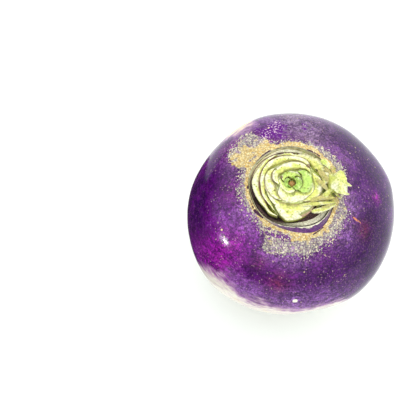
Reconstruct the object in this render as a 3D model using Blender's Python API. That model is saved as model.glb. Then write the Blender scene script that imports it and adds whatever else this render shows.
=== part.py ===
"""Rutabaga, trimmed for the market: a flattened round root with its cut leaf bases.

The root stands on its trimmed taproot, with the crown up. The origin is the centre of
that flat spot, +Z is up and -Y is the side that is nearest in a view from the front.
Two bodies make it: the swollen root, and the rosette of leaf bases in the crown's dish.
"""

import math

import bmesh
import bpy
import numpy as np
from mathutils import Matrix, Vector

MM = 0.001

# The swollen root
WIDEST_RADIUS = 49.5 * MM
WIDEST_HEIGHT = 41 * MM
UPPER_RISE = 35 * MM
LOWER_DROP = 37 * MM
UPPER_FULLNESS = 2.25
LOWER_FULLNESS = 2.05
LEAN_HEIGHT = 28 * MM

# Broad swellings and flats of the skin: direction, latitude and reach in degrees, height
SWELLINGS = (
    (222, -8, 26, 1.9 * MM),
    (144, 20, 24, -1.8 * MM),
    (308, -12, 20, 0.6 * MM),
    (283, -14, 14, -1.3 * MM),
    (18, 8, 16, 1.2 * MM),
    (60, 20, 22, 0.6 * MM),
    (20, -40, 26, -1.0 * MM),
)

# The trimmed taproot, which the root stands on
CUT_RADIUS = 9.5 * MM
NECK_RADIUS = 21 * MM
NECK_BEND_RADIUS = 12.5 * MM
NECK_BEND_SHARE = 0.62
NECK_WAVE = 0.35 * MM
NECK_WAVES = 3

# The crown's dish. Each fallen leaf left a scar, and the scars make its steps: plain
# radius, and for each lobe of the step how far it stands out, its direction and reach
CROWN_CENTRE = Vector((-2.2 * MM, 0.6 * MM, 0))
FLOOR_HEIGHT = 69.6 * MM
FLOOR_INSET = 0.6 * MM
STEPS = (
    (18.2 * MM, ((-1.6 * MM, 92, 34), (-0.9 * MM, -72, 38))),
    (18.7 * MM, ((1.9 * MM, -48, 45),)),
    (19.2 * MM, ((4.7 * MM, -64, 42),)),
)
STEP_LEVELS = (0, 0.6, 0.82, 1)
STEP_WIDTH = 0.36 * MM
STEP_WAVE = 0.22 * MM
STEP_WAVES = 5
LOBE_POWER = 1.5

# The corky ring round the dish stands a little proud of the skin
SHOULDER_RADIUS = 28.5 * MM
CORK_RISE = 0.5 * MM

# The mesh of the root
SEGMENTS = 72
FLOOR_RINGS = 2
SHOULDER_RINGS = 4
BODY_RINGS = 20
NECK_RINGS = 4
CUT_RINGS = 2
SHARP_ANGLE = 40

# The rosette of cut leaf bases
TOUCH_GAP = 0.3 * MM
BUD_CENTRE = CROWN_CENTRE + Vector((0.4 * MM, 0.9 * MM, 0))
BUD_RADIUS = 1.8 * MM
BUD_DEPTH = 2.4 * MM
BUD_SIDES = 12
BUD_RINGS = 8
CUT_HEIGHT = 77.6 * MM
FOOT_SHARE = 0.93
SLOT = 0.3 * MM
MARGIN = 0.8 * MM
TAPER_POWER = 4
CUT_SLOPE = 0.06
COLUMN_ANGLE = 8

# The cut leaf bases from the bud outwards, as their cut faces lie round it: directions
# of the two edges in degrees, radius of the outer side in millimetres at even places
# from the first edge over the rib to the last, and how far the cut lies above the
# common one
LEAF_BASES = (
    (115, 255, (3.2, 3.5, 3.6, 3.5, 3.2), -2.0 * MM),
    (-80, 62, (4.3, 4.7, 4.9, 4.7, 4.3), -1.6 * MM),
    (38, 172, (5.4, 5.7, 5.8, 5.7, 5.5), -1.0 * MM),
    (150, 288, (5.8, 5.8, 5.8, 5.9, 6.0), -0.9 * MM),
    (-58, 60, (9.3, 9.4, 9.4, 8.9, 7.6), -0.4 * MM),
    (203, 346, (9.0, 10.4, 11.1, 10.1, 9.3), -0.2 * MM),
    (26, 196, (10.6, 10.4, 9.8, 10.0, 8.8), 0.0 * MM),
    (138, 242, (11.4, 12.5, 12.6, 12.3, 11.6), 0.1 * MM),
    (-66, 26, (12.4, 13.8, 13.8, 13.6, 12.6), 0.0 * MM),
    (205, 316, (13.2, 13.9, 18.9, 17.3, 16.6), 0.3 * MM),
    (36, 240, (13.2, 12.2, 14.3, 14.6, 16.4), 0.2 * MM),
    (-14, 112, (17.2, 17.7, 15.8, 13.3, 13.6), 0.0 * MM),
    (-48, -2, (16.8, 17.9, 18.4, 18.3, 17.8), -0.9 * MM),
    (116, 246, (14.4, 15.4, 18.0, 17.6, 17.3), -0.2 * MM),
)

# The envelope round the leaf bases that are already placed
ENVELOPE_TURNS = 240
EASE_TURNS = 5

# The core that they grow from
CORE_HEIGHT = 4.6 * MM
CORE_INSET = 1.2 * MM
CORE_SIDES = 48

# The stub of a stalk at the edge, bent out over the lip of the dish. Its path is given
# by reach from the bud and height, and it swells on the way: each at the start, the
# point that leads the curve and the cut end
STUB_DIRECTION = -4
STUB_REACHES = (14.0 * MM, 17.8 * MM, 23.4 * MM)
STUB_HEIGHTS = (72.5 * MM, 77.6 * MM, 79.0 * MM)
STUB_HALF_WIDTHS = (2.2 * MM, 6.6 * MM, 5.2 * MM)
STUB_HALF_DEPTHS = (1.4 * MM, 2.6 * MM, 2.6 * MM)
STUB_CUT_SLANT = 0.7
STUB_SIDES = 12
STUB_RINGS = 6
STUB_SQUARENESS = 3.0
PATH_STEP = 0.01


def bell(turn, reach, power=2):
    """A hump of height 1 over that turn from its middle, sharper for a lower power."""
    return math.exp(-(abs(turn / reach) ** power))


def turn_between(direction, centre):
    """The turn from a centre in degrees to a direction in radians, in radians."""
    return (direction - math.radians(centre) + math.pi) % math.tau - math.pi


def smooth_step(value):
    """0 below 0, 1 above 1, with an even S between."""
    share = min(1.0, max(0.0, value))
    return share * share * (3 - 2 * share)


def curve_point(points, share):
    """A point of the quadratic curve through the first and last, led by the second."""
    first, lead, last = points
    return first * (1 - share) ** 2 + lead * 2 * share * (1 - share) + last * share**2


def outward(direction):
    """The level unit vector in a direction."""
    return Vector((math.cos(direction), math.sin(direction), 0))


def swelling(direction, latitude):
    """How far the skin stands out there, as the sum of the broad swellings."""
    total = 0.0
    for centre, level, reach, height in SWELLINGS:
        across = turn_between(direction, centre) * math.cos(latitude)
        up = latitude - math.radians(level)
        total += height * bell(math.hypot(across, up), math.radians(reach))
    return total


def body_ring(polar):
    """Radius and height of the plain body at an angle from the top of its axis."""
    cosine, sine = math.cos(polar), math.sin(polar)
    fullness = UPPER_FULLNESS if cosine > 0 else LOWER_FULLNESS
    reach = UPPER_RISE if cosine > 0 else LOWER_DROP
    radius = WIDEST_RADIUS * abs(sine) ** (2 / fullness)
    rise = reach * abs(cosine) ** (2 / fullness) * math.copysign(1, cosine)
    return radius, WIDEST_HEIGHT + rise


def body_polar(radius, upper):
    """The angle from the top at which the plain body has that radius."""
    fullness = UPPER_FULLNESS if upper else LOWER_FULLNESS
    polar = math.asin((radius / WIDEST_RADIUS) ** (fullness / 2))
    return polar if upper else math.pi - polar


def body_point(polar, direction):
    """A point on the skin between the taproot's neck and the shoulder."""
    radius, height = body_ring(polar)
    out = swelling(direction, math.pi / 2 - polar)
    radius += out * math.sin(polar)
    height += out * math.cos(polar)
    lean = smooth_step((height - WIDEST_HEIGHT) / LEAN_HEIGHT)
    return outward(direction) * radius + CROWN_CENTRE * lean + Vector((0, 0, height))


def neck_point(share, direction):
    """A point on the hollow curve from the body (share 0) down to the cut (share 1)."""
    start = body_point(body_polar(NECK_RADIUS, upper=False), direction)
    wave = NECK_WAVE * math.cos(NECK_WAVES * direction)
    bend = outward(direction) * (NECK_BEND_RADIUS + wave)
    bend.z = start.z * NECK_BEND_SHARE
    end = outward(direction) * (CUT_RADIUS + wave)
    return curve_point((start, bend, end), share)


def step_radius(index, direction):
    """Radius of one of the dish's steps about the crown."""
    radius, lobes = STEPS[index]
    for height, centre, reach in lobes:
        turn = turn_between(direction, centre)
        radius += height * bell(turn, math.radians(reach), LOBE_POWER)
    return radius + STEP_WAVE * math.sin(STEP_WAVES * direction)


def step_point(index, side, direction):
    """A point at the foot (side -1) or the top (side 1) of a step."""
    radius = step_radius(index, direction) + side * STEP_WIDTH / 2
    skin = body_point(body_polar(radius, upper=True), direction)
    level = STEP_LEVELS[index] if side < 0 else STEP_LEVELS[index + 1]
    skin.z = FLOOR_HEIGHT + (skin.z + CORK_RISE - FLOOR_HEIGHT) * level
    return skin


def shoulder_point(share, direction):
    """A point of the corky ring, from the lip (share 0) to the shoulder (share 1)."""
    lip = step_radius(len(STEPS) - 1, direction) + STEP_WIDTH / 2
    radius = lip + (SHOULDER_RADIUS - lip) * share
    skin = body_point(body_polar(radius, upper=True), direction)
    skin.z += CORK_RISE * (1 - smooth_step(share))
    return skin


def floor_point(share, direction):
    """A point of the dish's floor, from its middle (share 0) to its edge (share 1)."""
    edge = step_point(0, -1, direction) - outward(direction) * FLOOR_INSET
    x = CROWN_CENTRE.x + (edge.x - CROWN_CENTRE.x) * share
    y = CROWN_CENTRE.y + (edge.y - CROWN_CENTRE.y) * share
    return Vector((x, y, FLOOR_HEIGHT))


def cut_point(share, direction):
    """A point on the flat cut of the taproot, from its edge (share 0) to its centre."""
    edge = neck_point(1, direction)
    return Vector((edge.x * (1 - share), edge.y * (1 - share), 0))


def root_rings():
    """The rings of the root from the top down: a function and its first values."""
    rings = [(floor_point, (i / FLOOR_RINGS,)) for i in range(1, FLOOR_RINGS + 1)]
    rings += [(step_point, (i, side)) for i in range(len(STEPS)) for side in (-1, 1)]
    rings += [(shoulder_point, (i / SHOULDER_RINGS,)) for i in range(1, SHOULDER_RINGS)]
    top = body_polar(SHOULDER_RADIUS, upper=True)
    bottom = body_polar(NECK_RADIUS, upper=False)
    for index in range(BODY_RINGS + 1):
        rings.append((body_point, (top + (bottom - top) * index / BODY_RINGS,)))
    rings += [(neck_point, (i / NECK_RINGS,)) for i in range(1, NECK_RINGS + 1)]
    rings += [(cut_point, (i / CUT_RINGS,)) for i in range(1, CUT_RINGS)]
    return rings


def lay_rings(bm, rings, top, bottom):
    """Lays the rings of a sphere of radius 1 along those of another round body."""
    count = len(rings) + 1
    for vert in bm.verts:
        polar = math.acos(max(-1.0, min(1.0, vert.co.z)))
        ring = round(polar / math.pi * count)
        if ring == 0:
            vert.co = top
        elif ring == count:
            vert.co = bottom
        else:
            place, values = rings[ring - 1]
            vert.co = place(*values, math.atan2(vert.co.y, vert.co.x))


def finish_mesh(bm, name, collection, material):
    """Turns a bmesh into a named object with smooth shading and one material."""
    bmesh.ops.recalc_face_normals(bm, faces=bm.faces)
    mesh = bpy.data.meshes.new(name)
    bm.to_mesh(mesh)
    bm.free()
    mesh.shade_smooth()
    mesh.set_sharp_from_angle(angle=math.radians(SHARP_ANGLE))
    mesh.materials.append(material)
    body = bpy.data.objects.new(name, mesh)
    collection.objects.link(body)
    return body


def build_root(collection, material):
    """The swollen root: a sphere whose rings follow the dish, the skin and the neck."""
    rings = root_rings()
    bm = bmesh.new()
    bmesh.ops.create_uvsphere(
        bm, u_segments=SEGMENTS, v_segments=len(rings) + 1, radius=1
    )
    top = CROWN_CENTRE + Vector((0, 0, FLOOR_HEIGHT))
    lay_rings(bm, rings, top, Vector((0, 0, 0)))
    return finish_mesh(bm, "swollen_root", collection, material)


def eased(envelope):
    """The envelope with its notches filled and its corners rounded."""
    turns = range(-EASE_TURNS, EASE_TURNS + 1)
    filled = np.max([np.roll(envelope, turn) for turn in turns], axis=0)
    return np.mean([np.roll(filled, turn) for turn in turns], axis=0)


def leaf_curves():
    """Inner and outer radius of each leaf base all round, and the last envelope.

    Each leaf base lies close round those inside it, thick at its rib and thin at its
    two edges, so the curves are worked out from the bud outwards.
    """
    turns = np.arange(ENVELOPE_TURNS) * 360 / ENVELOPE_TURNS
    envelope = np.full(ENVELOPE_TURNS, BUD_RADIUS)
    curves = []
    for first, last, radii, _ in LEAF_BASES:
        half = (last - first) / 2
        across = ((turns - first - half + 180) % 360 - 180) / half
        bend = np.minimum(np.abs(across), 1)
        plain = np.interp(across, np.linspace(-1, 1, len(radii)), radii) * MM
        inner = eased(envelope) + SLOT
        spare = np.maximum(plain - inner - MARGIN, 0)
        outer = inner + MARGIN + spare * (1 - bend**TAPER_POWER)
        curves.append((inner, outer))
        envelope = np.where(np.abs(across) <= 1, outer, envelope)
    return curves, envelope


def radius_at(curve, degrees):
    """The radius that a curve of the rosette has in a direction."""
    place = degrees / 360 * ENVELOPE_TURNS
    return np.interp(place, np.arange(ENVELOPE_TURNS), curve, period=ENVELOPE_TURNS)


def build_leaf_base(index, curves, collection, material):
    """One leaf base: its cut face as a strip, drawn down to the floor of the dish."""
    first, last, *_, above = LEAF_BASES[index]
    inner, outer = curves[index]
    columns = round((last - first) / COLUMN_ANGLE)
    bm = bmesh.new()
    bmesh.ops.create_grid(bm, x_segments=columns, y_segments=1, size=1)
    for vert in bm.verts:
        degrees = first + (last - first) * (vert.co.x + 1) / 2
        radius = radius_at(outer if vert.co.y > 0 else inner, degrees)
        slope = CUT_SLOPE * (radius - radius_at(inner, degrees))
        vert.co = BUD_CENTRE + outward(math.radians(degrees)) * radius
        vert.co.z = CUT_HEIGHT + above - slope
    drawn = bmesh.ops.extrude_face_region(bm, geom=bm.faces[:], use_keep_orig=True)
    for vert in drawn["geom"]:
        if isinstance(vert, bmesh.types.BMVert):
            vert.co = BUD_CENTRE + (vert.co - BUD_CENTRE) * FOOT_SHARE
            vert.co.z = FLOOR_HEIGHT + TOUCH_GAP
    return finish_mesh(bm, f"leaf_base_{index + 1:02d}", collection, material)


def build_bud(collection, material):
    """The bud: a small egg in the heart of the rosette."""
    bm = bmesh.new()
    bmesh.ops.create_uvsphere(bm, u_segments=BUD_SIDES, v_segments=BUD_RINGS, radius=1)
    top = CUT_HEIGHT - BUD_DEPTH
    bottom = FLOOR_HEIGHT + TOUCH_GAP * 2
    for vert in bm.verts:
        height = bottom + (top - bottom) * (vert.co.z + 1) / 2
        vert.co = BUD_CENTRE + Vector((vert.co.x, vert.co.y, 0)) * BUD_RADIUS
        vert.co.z = height
    return finish_mesh(bm, "bud", collection, material)


def stub_point(share, turn, size=1):
    """A point round the stub, at a share of its path from the core to the cut end."""
    reach = curve_point(STUB_REACHES, share)
    height = curve_point(STUB_HEIGHTS, share)
    rise = curve_point(STUB_HEIGHTS, share + PATH_STEP) - height
    tilt = math.atan2(rise, curve_point(STUB_REACHES, share + PATH_STEP) - reach)
    across, up = math.cos(turn), math.sin(turn)
    corner = (abs(across) ** STUB_SQUARENESS + abs(up) ** STUB_SQUARENESS) ** (
        1 / STUB_SQUARENESS
    )
    side = size * curve_point(STUB_HALF_WIDTHS, share) * across / corner
    up = size * curve_point(STUB_HALF_DEPTHS, share) * up / corner
    reach -= up * (math.sin(tilt) + STUB_CUT_SLANT * share * share)
    place = Vector((reach, side, height + up * math.cos(tilt)))
    place.rotate(Matrix.Rotation(math.radians(STUB_DIRECTION), 3, "Z"))
    return BUD_CENTRE + place


def build_stub(collection, material):
    """The stub: a flattened stalk that swells from the core to its slanting cut."""
    rings = [(stub_point, (i / (STUB_RINGS - 1),)) for i in range(STUB_RINGS)]
    bm = bmesh.new()
    bmesh.ops.create_uvsphere(
        bm, u_segments=STUB_SIDES, v_segments=STUB_RINGS + 1, radius=1
    )
    lay_rings(bm, rings, stub_point(0, 0, size=0), stub_point(1, 0, size=0))
    return finish_mesh(bm, "stub", collection, material)


def build_core(envelope, collection, material):
    """The core that the leaf bases grow from, a little inside their outer sides."""
    bm = bmesh.new()
    bmesh.ops.create_cone(
        bm, cap_ends=True, segments=CORE_SIDES, radius1=1, radius2=1, depth=1
    )
    for vert in bm.verts:
        direction = math.atan2(vert.co.y, vert.co.x)
        radius = radius_at(envelope, math.degrees(direction)) - CORE_INSET
        height = FLOOR_HEIGHT + TOUCH_GAP * 2 + CORE_HEIGHT * (vert.co.z + 0.5)
        vert.co = BUD_CENTRE + outward(direction) * radius * FOOT_SHARE
        vert.co.z = height
    return finish_mesh(bm, "leaf_base_rosette", collection, material)


def build_rosette(collection, material):
    """The leaf bases, the bud and the stub, joined to the core they grow from."""
    curves, envelope = leaf_curves()
    rosette = build_core(envelope, collection, material)
    repeats = bpy.data.collections.new("leaf bases to join")
    bpy.context.scene.collection.children.link(repeats)
    for index in range(len(LEAF_BASES)):
        build_leaf_base(index, curves, repeats, material)
    build_bud(repeats, material)
    build_stub(repeats, material)

    join = rosette.modifiers.new("join", "BOOLEAN")
    join.operation = "UNION"
    join.operand_type = "COLLECTION"
    join.collection = repeats
    join.solver = "EXACT"
    bpy.context.view_layer.update()
    graph = bpy.context.evaluated_depsgraph_get()
    joined = bpy.data.meshes.new_from_object(rosette.evaluated_get(graph))
    rosette.modifiers.clear()
    rosette.data = joined
    for piece in list(repeats.objects):
        bpy.data.objects.remove(piece)
    bpy.data.collections.remove(repeats)
    return rosette


def make_material(name, colour, roughness):
    """A plain finish for one body."""
    material = bpy.data.materials.new(name)
    material.use_nodes = True
    shader = material.node_tree.nodes["Principled BSDF"]
    shader.inputs["Base Color"].default_value = (*colour, 1)
    shader.inputs["Roughness"].default_value = roughness
    shader.inputs["Metallic"].default_value = 0
    return material


def main():
    for old in list(bpy.data.objects):
        bpy.data.objects.remove(old)
    collection = bpy.data.collections.new("rutabaga")
    bpy.context.scene.collection.children.link(collection)
    skin = make_material("purple skin", (0.115, 0.02, 0.16), 0.38)
    leaf = make_material("cut leaf base", (0.72, 0.8, 0.36), 0.5)
    build_root(collection, skin)
    build_rosette(collection, leaf)


main()
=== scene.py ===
# %% [markdown]
# # A rutabaga with its cut leaf bases
#
# A rutabaga is a swollen root with a crown on top. The leaves were cut off at the
# market, and their bases still sit in the crown like the petals of a pale green rose.
# Round them lies a rough corky ring, and below it the skin is a mottled purple that
# gives way to cream where the root was in the soil.
#
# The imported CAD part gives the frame: one solid for the root, one for the rosette. This
# lesson loads it, remakes both with fine relief and living skin, and lights them.

import math

import bmesh
import bpy
import numpy as np
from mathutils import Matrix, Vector


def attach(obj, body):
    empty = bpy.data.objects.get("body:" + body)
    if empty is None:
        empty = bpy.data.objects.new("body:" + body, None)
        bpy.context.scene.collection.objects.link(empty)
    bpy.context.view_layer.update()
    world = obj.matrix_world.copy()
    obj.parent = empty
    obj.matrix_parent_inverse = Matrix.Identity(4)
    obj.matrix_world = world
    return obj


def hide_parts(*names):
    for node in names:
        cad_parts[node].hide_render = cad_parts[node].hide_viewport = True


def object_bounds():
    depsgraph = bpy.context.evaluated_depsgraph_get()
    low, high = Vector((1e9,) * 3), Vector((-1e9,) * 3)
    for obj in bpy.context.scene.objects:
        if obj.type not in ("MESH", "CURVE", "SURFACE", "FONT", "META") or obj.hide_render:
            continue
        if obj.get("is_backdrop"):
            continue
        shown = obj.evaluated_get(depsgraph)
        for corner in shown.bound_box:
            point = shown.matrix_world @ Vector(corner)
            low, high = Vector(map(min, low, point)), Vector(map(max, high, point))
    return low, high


MM = 0.001

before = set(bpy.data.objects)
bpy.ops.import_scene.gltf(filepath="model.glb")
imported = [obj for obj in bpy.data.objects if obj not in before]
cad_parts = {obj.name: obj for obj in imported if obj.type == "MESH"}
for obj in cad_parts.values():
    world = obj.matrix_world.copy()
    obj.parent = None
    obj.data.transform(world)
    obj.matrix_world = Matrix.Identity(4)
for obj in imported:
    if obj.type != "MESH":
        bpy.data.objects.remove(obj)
cad_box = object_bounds()


def print_box(name, box):
    """Prints the two corners of a box in mm."""
    print(name, "box in mm:", [[round(value / MM, 1) for value in corner] for corner in box])


print_box("CAD", cad_box)

# %% [markdown]
# ## The camera
#
# The photograph looks steeply down on the crown from about half a metre away, so the
# top of the root is drawn 7% larger than its widest part. The lens and the distance
# keep that. The root stands right of the middle of the picture, so the camera looks at a
# point to the left of it, and no lens shift is needed.

# %% Camera at the photograph's angle
CAMERA_ELEVATION = math.radians(68)
CAMERA_DISTANCE = 0.52
CAMERA_LENS = 97
SENSOR_WIDTH = 36
ROOT_MIDDLE = Vector((0, 0, 41 * MM))
MOVE_LEFT = 43.5 * MM
MOVE_UP = 6.5 * MM

across = Vector((1, 0, 0))
above = Vector((0, math.sin(CAMERA_ELEVATION), math.cos(CAMERA_ELEVATION)))
backwards = Vector((0, -math.cos(CAMERA_ELEVATION), math.sin(CAMERA_ELEVATION)))

lens = bpy.data.cameras.new("photo camera")
lens.lens = CAMERA_LENS
lens.sensor_width = SENSOR_WIDTH
camera = bpy.data.objects.new("photo camera", lens)
camera.location = (
    ROOT_MIDDLE - across * MOVE_LEFT + above * MOVE_UP + backwards * CAMERA_DISTANCE
)
camera.rotation_euler = (math.pi / 2 - CAMERA_ELEVATION, 0, 0)
bpy.context.scene.collection.objects.link(camera)
bpy.context.scene.camera = camera
print("camera", [round(value, 3) for value in camera.location], "lens", CAMERA_LENS)

# %% [markdown]
# ## Meshes, signals and trees: the tools
#
# A closed mesh is laid through rings of points, with a pole at each end: that one tool
# makes the root, the leaf bases and the stub. A signal is an output of a node, and
# arithmetic with it lays more nodes, so each finish later reads like a formula. A bench
# keeps one tree's signals together. The last tool runs a Geometry Nodes tree on a piece
# and keeps the result as a plain mesh.

# %% A closed mesh through rings of points
def lay_shell(rings, poles=None, **fields):
    """Points, faces and point fields of a closed shell, by default with flat ends."""
    rings = np.array(rings)
    rows, turns = rings.shape[:2]
    first, last = poles or (rings[0].mean(axis=0), rings[-1].mean(axis=0))
    points = np.concatenate([[first], rings.reshape(-1, 3), [last]])
    ring = np.arange(rows * turns).reshape(rows, turns) + 1
    beside = np.roll(ring, -1, axis=1)
    quads = np.stack([ring[:-1], ring[1:], beside[1:], beside[:-1]], axis=-1)
    faces = quads.reshape(-1, 4).tolist()
    faces += [(0, a, b) for a, b in zip(ring[0].tolist(), beside[0].tolist())]
    pole = rows * turns + 1
    faces += [(pole, b, a) for a, b in zip(ring[-1].tolist(), beside[-1].tolist())]
    spread = {}
    for name, values in fields.items():
        values = np.broadcast_to(values, (rows, turns))
        ends = values[0].mean(), values[-1].mean()
        spread[name] = np.concatenate([[ends[0]], values.reshape(-1), [ends[1]]])
    return points, faces, spread


def make_piece(name, shells, material=None, sharp=None):
    """One mesh object from closed shells, with their fields as point attributes."""
    points, faces, start = [], [], 0
    for shell_points, shell_faces, _ in shells:
        points.append(shell_points)
        faces += [[corner + start for corner in face] for face in shell_faces]
        start += len(shell_points)
    mesh = bpy.data.meshes.new(name)
    mesh.from_pydata(np.concatenate(points).tolist(), [], faces)
    for field in shells[0][2]:
        attribute = mesh.attributes.new(field, "FLOAT", "POINT")
        values = np.concatenate([shell[2][field] for shell in shells])
        attribute.data.foreach_set("value", values.astype(np.float32))
    bm = bmesh.new()
    bm.from_mesh(mesh)
    bmesh.ops.recalc_face_normals(bm, faces=bm.faces)
    bm.to_mesh(mesh)
    bm.free()
    mesh.shade_smooth()
    if sharp:
        mesh.set_sharp_from_angle(angle=math.radians(sharp))
    if material:
        mesh.materials.append(material)
    piece = bpy.data.objects.new(name, mesh)
    bpy.context.scene.collection.objects.link(piece)
    return piece


def count_triangles(piece):
    """How many triangles a piece has."""
    return sum(len(face.vertices) - 2 for face in piece.data.polygons)


# %% Signals: outputs of nodes to reckon with
def rule(operation):
    """An arithmetic rule of signals, which lays a Math node."""
    return lambda signal, other=0.0: signal.bench.reckon(operation, signal, other)


class Signal:
    """An output of a node. Arithmetic with it lays more nodes on its bench."""

    __add__, __sub__ = rule("ADD"), rule("SUBTRACT")
    __mul__, __truediv__ = rule("MULTIPLY"), rule("DIVIDE")
    __abs__ = rule("ABSOLUTE")

    def __init__(self, bench, socket):
        self.bench, self.socket = bench, socket

    def __rsub__(self, other):
        return self.bench.reckon("SUBTRACT", other, self)

    def held(self, other):
        """A product that is held between 0 and 1."""
        return self.bench.reckon("MULTIPLY", self, other, clamp=True)

    def ease(self, low, high, to_low=0.0, to_high=1.0):
        """The value eased from one range to another, and held outside it."""
        inputs = {"Value": self, "From Min": low, "From Max": high}
        inputs.update({"To Min": to_low, "To Max": to_high})
        return self.bench.make("ShaderNodeMapRange", inputs, interpolation_type="SMOOTHSTEP")

    def vector(self, operation, other=(0.0, 0.0, 0.0), scale=1.0):
        """The vector, or for a length or product the number, of a Vector Math node."""
        single = operation in ("LENGTH", "DOT_PRODUCT", "DISTANCE")
        inputs = {0: self, 1: other, 3: scale}
        return self.bench.make("ShaderNodeVectorMath", inputs, int(single), operation=operation)

    def times(self, *factors):
        """A colour or a vector scaled by each factor in turn."""
        result = self
        for factor in factors:
            result = result.vector("SCALE", scale=factor)
        return result

    def parts(self, kind="XYZ"):
        """The three parts of a vector or, by the kind Color, of a colour."""
        node = self.bench.add("ShaderNodeSeparate" + kind, {0: self})
        return [Signal(self.bench, socket) for socket in node.outputs]


# %% A bench that lays nodes in a tree
def eye_colour(tone):
    """A linear colour from the 0 to 255 values that a colour picker shows."""
    shares = np.array(tone) / 255
    low, high = shares / 12.92, ((shares + 0.055) / 1.055) ** 2.4
    return (*np.where(shares <= 0.04045, low, high).tolist(), 1.0)


class Bench:
    """Adds nodes to one tree and joins them. Sizes are in mm, colours from 0 to 255."""

    def __init__(self, tree):
        self.tree = tree

    def add(self, kind, inputs=None, **settings):
        """A new node with its settings, its inputs linked or set."""
        node = self.tree.nodes.new(kind)
        for name, value in settings.items():
            setattr(node, name, value)
        for name, value in (inputs or {}).items():
            self.feed(node.inputs[name], value)
        return node

    def feed(self, socket, value):
        """Links a signal to this socket, or sets the socket's own value."""
        if isinstance(value, Signal):
            self.tree.links.new(value.socket, socket)
        else:
            socket.default_value = value

    def make(self, kind, inputs=None, output=0, **settings):
        """One output of a new node, as a signal."""
        return Signal(self, self.add(kind, inputs, **settings).outputs[output])

    def reckon(self, operation, first, second=0.0, clamp=False):
        """The result of a Math node."""
        inputs = {0: first, 1: second}
        return self.make("ShaderNodeMath", inputs, operation=operation, use_clamp=clamp)

    def combine(self, x, y, z):
        """A vector from its three parts."""
        return self.make("ShaderNodeCombineXYZ", {0: x, 1: y, 2: z})

    def noise(self, size=None, detail=2.0, roughness=0.5, place=None, scale=None, output=0):
        """Cloudy noise from 0 to 1, with features of a size or at a plain scale."""
        inputs = {"Scale": scale or 1 / (size * MM), "Detail": detail, "Roughness": roughness}
        inputs["Vector"] = place or self.place
        return self.make("ShaderNodeTexNoise", inputs, output)

    def cells(self, size, place=None, feature="F1"):
        """The distance and the drawn colour of Voronoi cells of about that size."""
        inputs = {"Scale": 1 / (size * MM), "Vector": place or self.place}
        outputs = self.add("ShaderNodeTexVoronoi", inputs, feature=feature).outputs
        return Signal(self, outputs[0]), Signal(self, outputs[1])

    def jostle(self, place, scale, reach):
        """Places shifted by noise, by up to half that reach."""
        noise = self.noise(place=place, scale=scale, output="Color")
        return place.vector("ADD", noise.vector("SUBTRACT", (0.5, 0.5, 0.5)).times(reach * MM))

    def turn_about(self, centre):
        """The direction of each place about an upright line."""
        x, y, _ = self.place.vector("SUBTRACT", tuple(centre)).parts()
        return self.reckon("ARCTAN2", y, x)

    def blend(self, factor, first, second):
        """Two colours blended by a factor."""
        tones = [tone if isinstance(tone, Signal) else eye_colour(tone) for tone in (first, second)]
        inputs = {0: factor, 6: tones[0], 7: tones[1]}
        return self.make("ShaderNodeMix", inputs, 2, data_type="RGBA")

    def coats(self, colour, *layers):
        """A colour under coats of paint, each given by its mask and its tone."""
        for mask, tone in layers:
            colour = self.blend(mask, colour, tone)
        return colour

    def field(self, name):
        """A point attribute of the piece, as a number."""
        if self.tree.type == "GEOMETRY":
            return self.make("GeometryNodeInputNamedAttribute", {"Name": name}, "Attribute")
        return self.make("ShaderNodeAttribute", None, "Fac", attribute_name=name)

    def bump(self, height, depth, under=None):
        """The surface normal over a height field, which is that deep."""
        inputs = {"Height": height, "Distance": depth * MM}
        if under:
            inputs["Normal"] = under
        return self.make("ShaderNodeBump", inputs)

    def tell(self, step):
        """Prints how many nodes the tree has after a step."""
        print(step, "laid,", len(self.tree.nodes), "nodes so far")

    def dress(self, values):
        """Feeds the inputs of the material's shader."""
        for name, value in values.items():
            self.feed(self.tree.nodes["Principled BSDF"].inputs[name], value)


def new_finish(name):
    """A material and its bench, with Object coordinates at hand."""
    material = bpy.data.materials.new(name)
    material.use_nodes = True
    bench = Bench(material.node_tree)
    bench.place = bench.make("ShaderNodeTexCoord", None, "Object")
    return material, bench


# %% New trees, and running a Geometry Nodes tree on a piece
GEOMETRY, MATERIAL = "NodeSocketGeometry", "NodeSocketMaterial"
VECTOR, NUMBER = "NodeSocketVector", "NodeSocketFloat"
VALUE_KINDS = {float: NUMBER, int: "NodeSocketInt"}


def new_tree(name, kind, result, inputs):
    """A bench for a new tree. Each named input is a number or a kind of socket."""
    tree = bpy.data.node_groups.new(name, kind)
    for label, value in inputs.items():
        number = VALUE_KINDS.get(type(value))
        socket = tree.interface.new_socket(label, in_out="INPUT", socket_type=number or value)
        if number:
            socket.default_value = value
    tree.interface.new_socket("Result", in_out="OUTPUT", socket_type=result)
    bench = Bench(tree)
    sockets = bench.add("NodeGroupInput").outputs
    bench.entry = {socket.name: Signal(bench, socket) for socket in sockets if socket.name}
    bench.exit = bench.add("NodeGroupOutput").inputs[0]
    return bench


def new_growth(name, sizes):
    """A bench for a Geometry Nodes tree with these named inputs, and the inputs."""
    inputs = {"Geometry": GEOMETRY, **sizes, "Material": MATERIAL}
    bench = new_tree(name, "GeometryNodeTree", GEOMETRY, inputs)
    bench.place = bench.make("GeometryNodeInputPosition")
    return bench, bench.entry


def close_growth(bench, geometry):
    """Makes the geometry real, gives it the material and ends the tree with it."""
    real = bench.make("GeometryNodeRealizeInstances", {0: geometry})
    inputs = {"Geometry": real, "Material": bench.entry["Material"]}
    bench.feed(bench.exit, bench.make("GeometryNodeSetMaterial", inputs))
    print(bench.tree.name, "has", len(bench.tree.nodes), "nodes")
    return bench.tree


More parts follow.
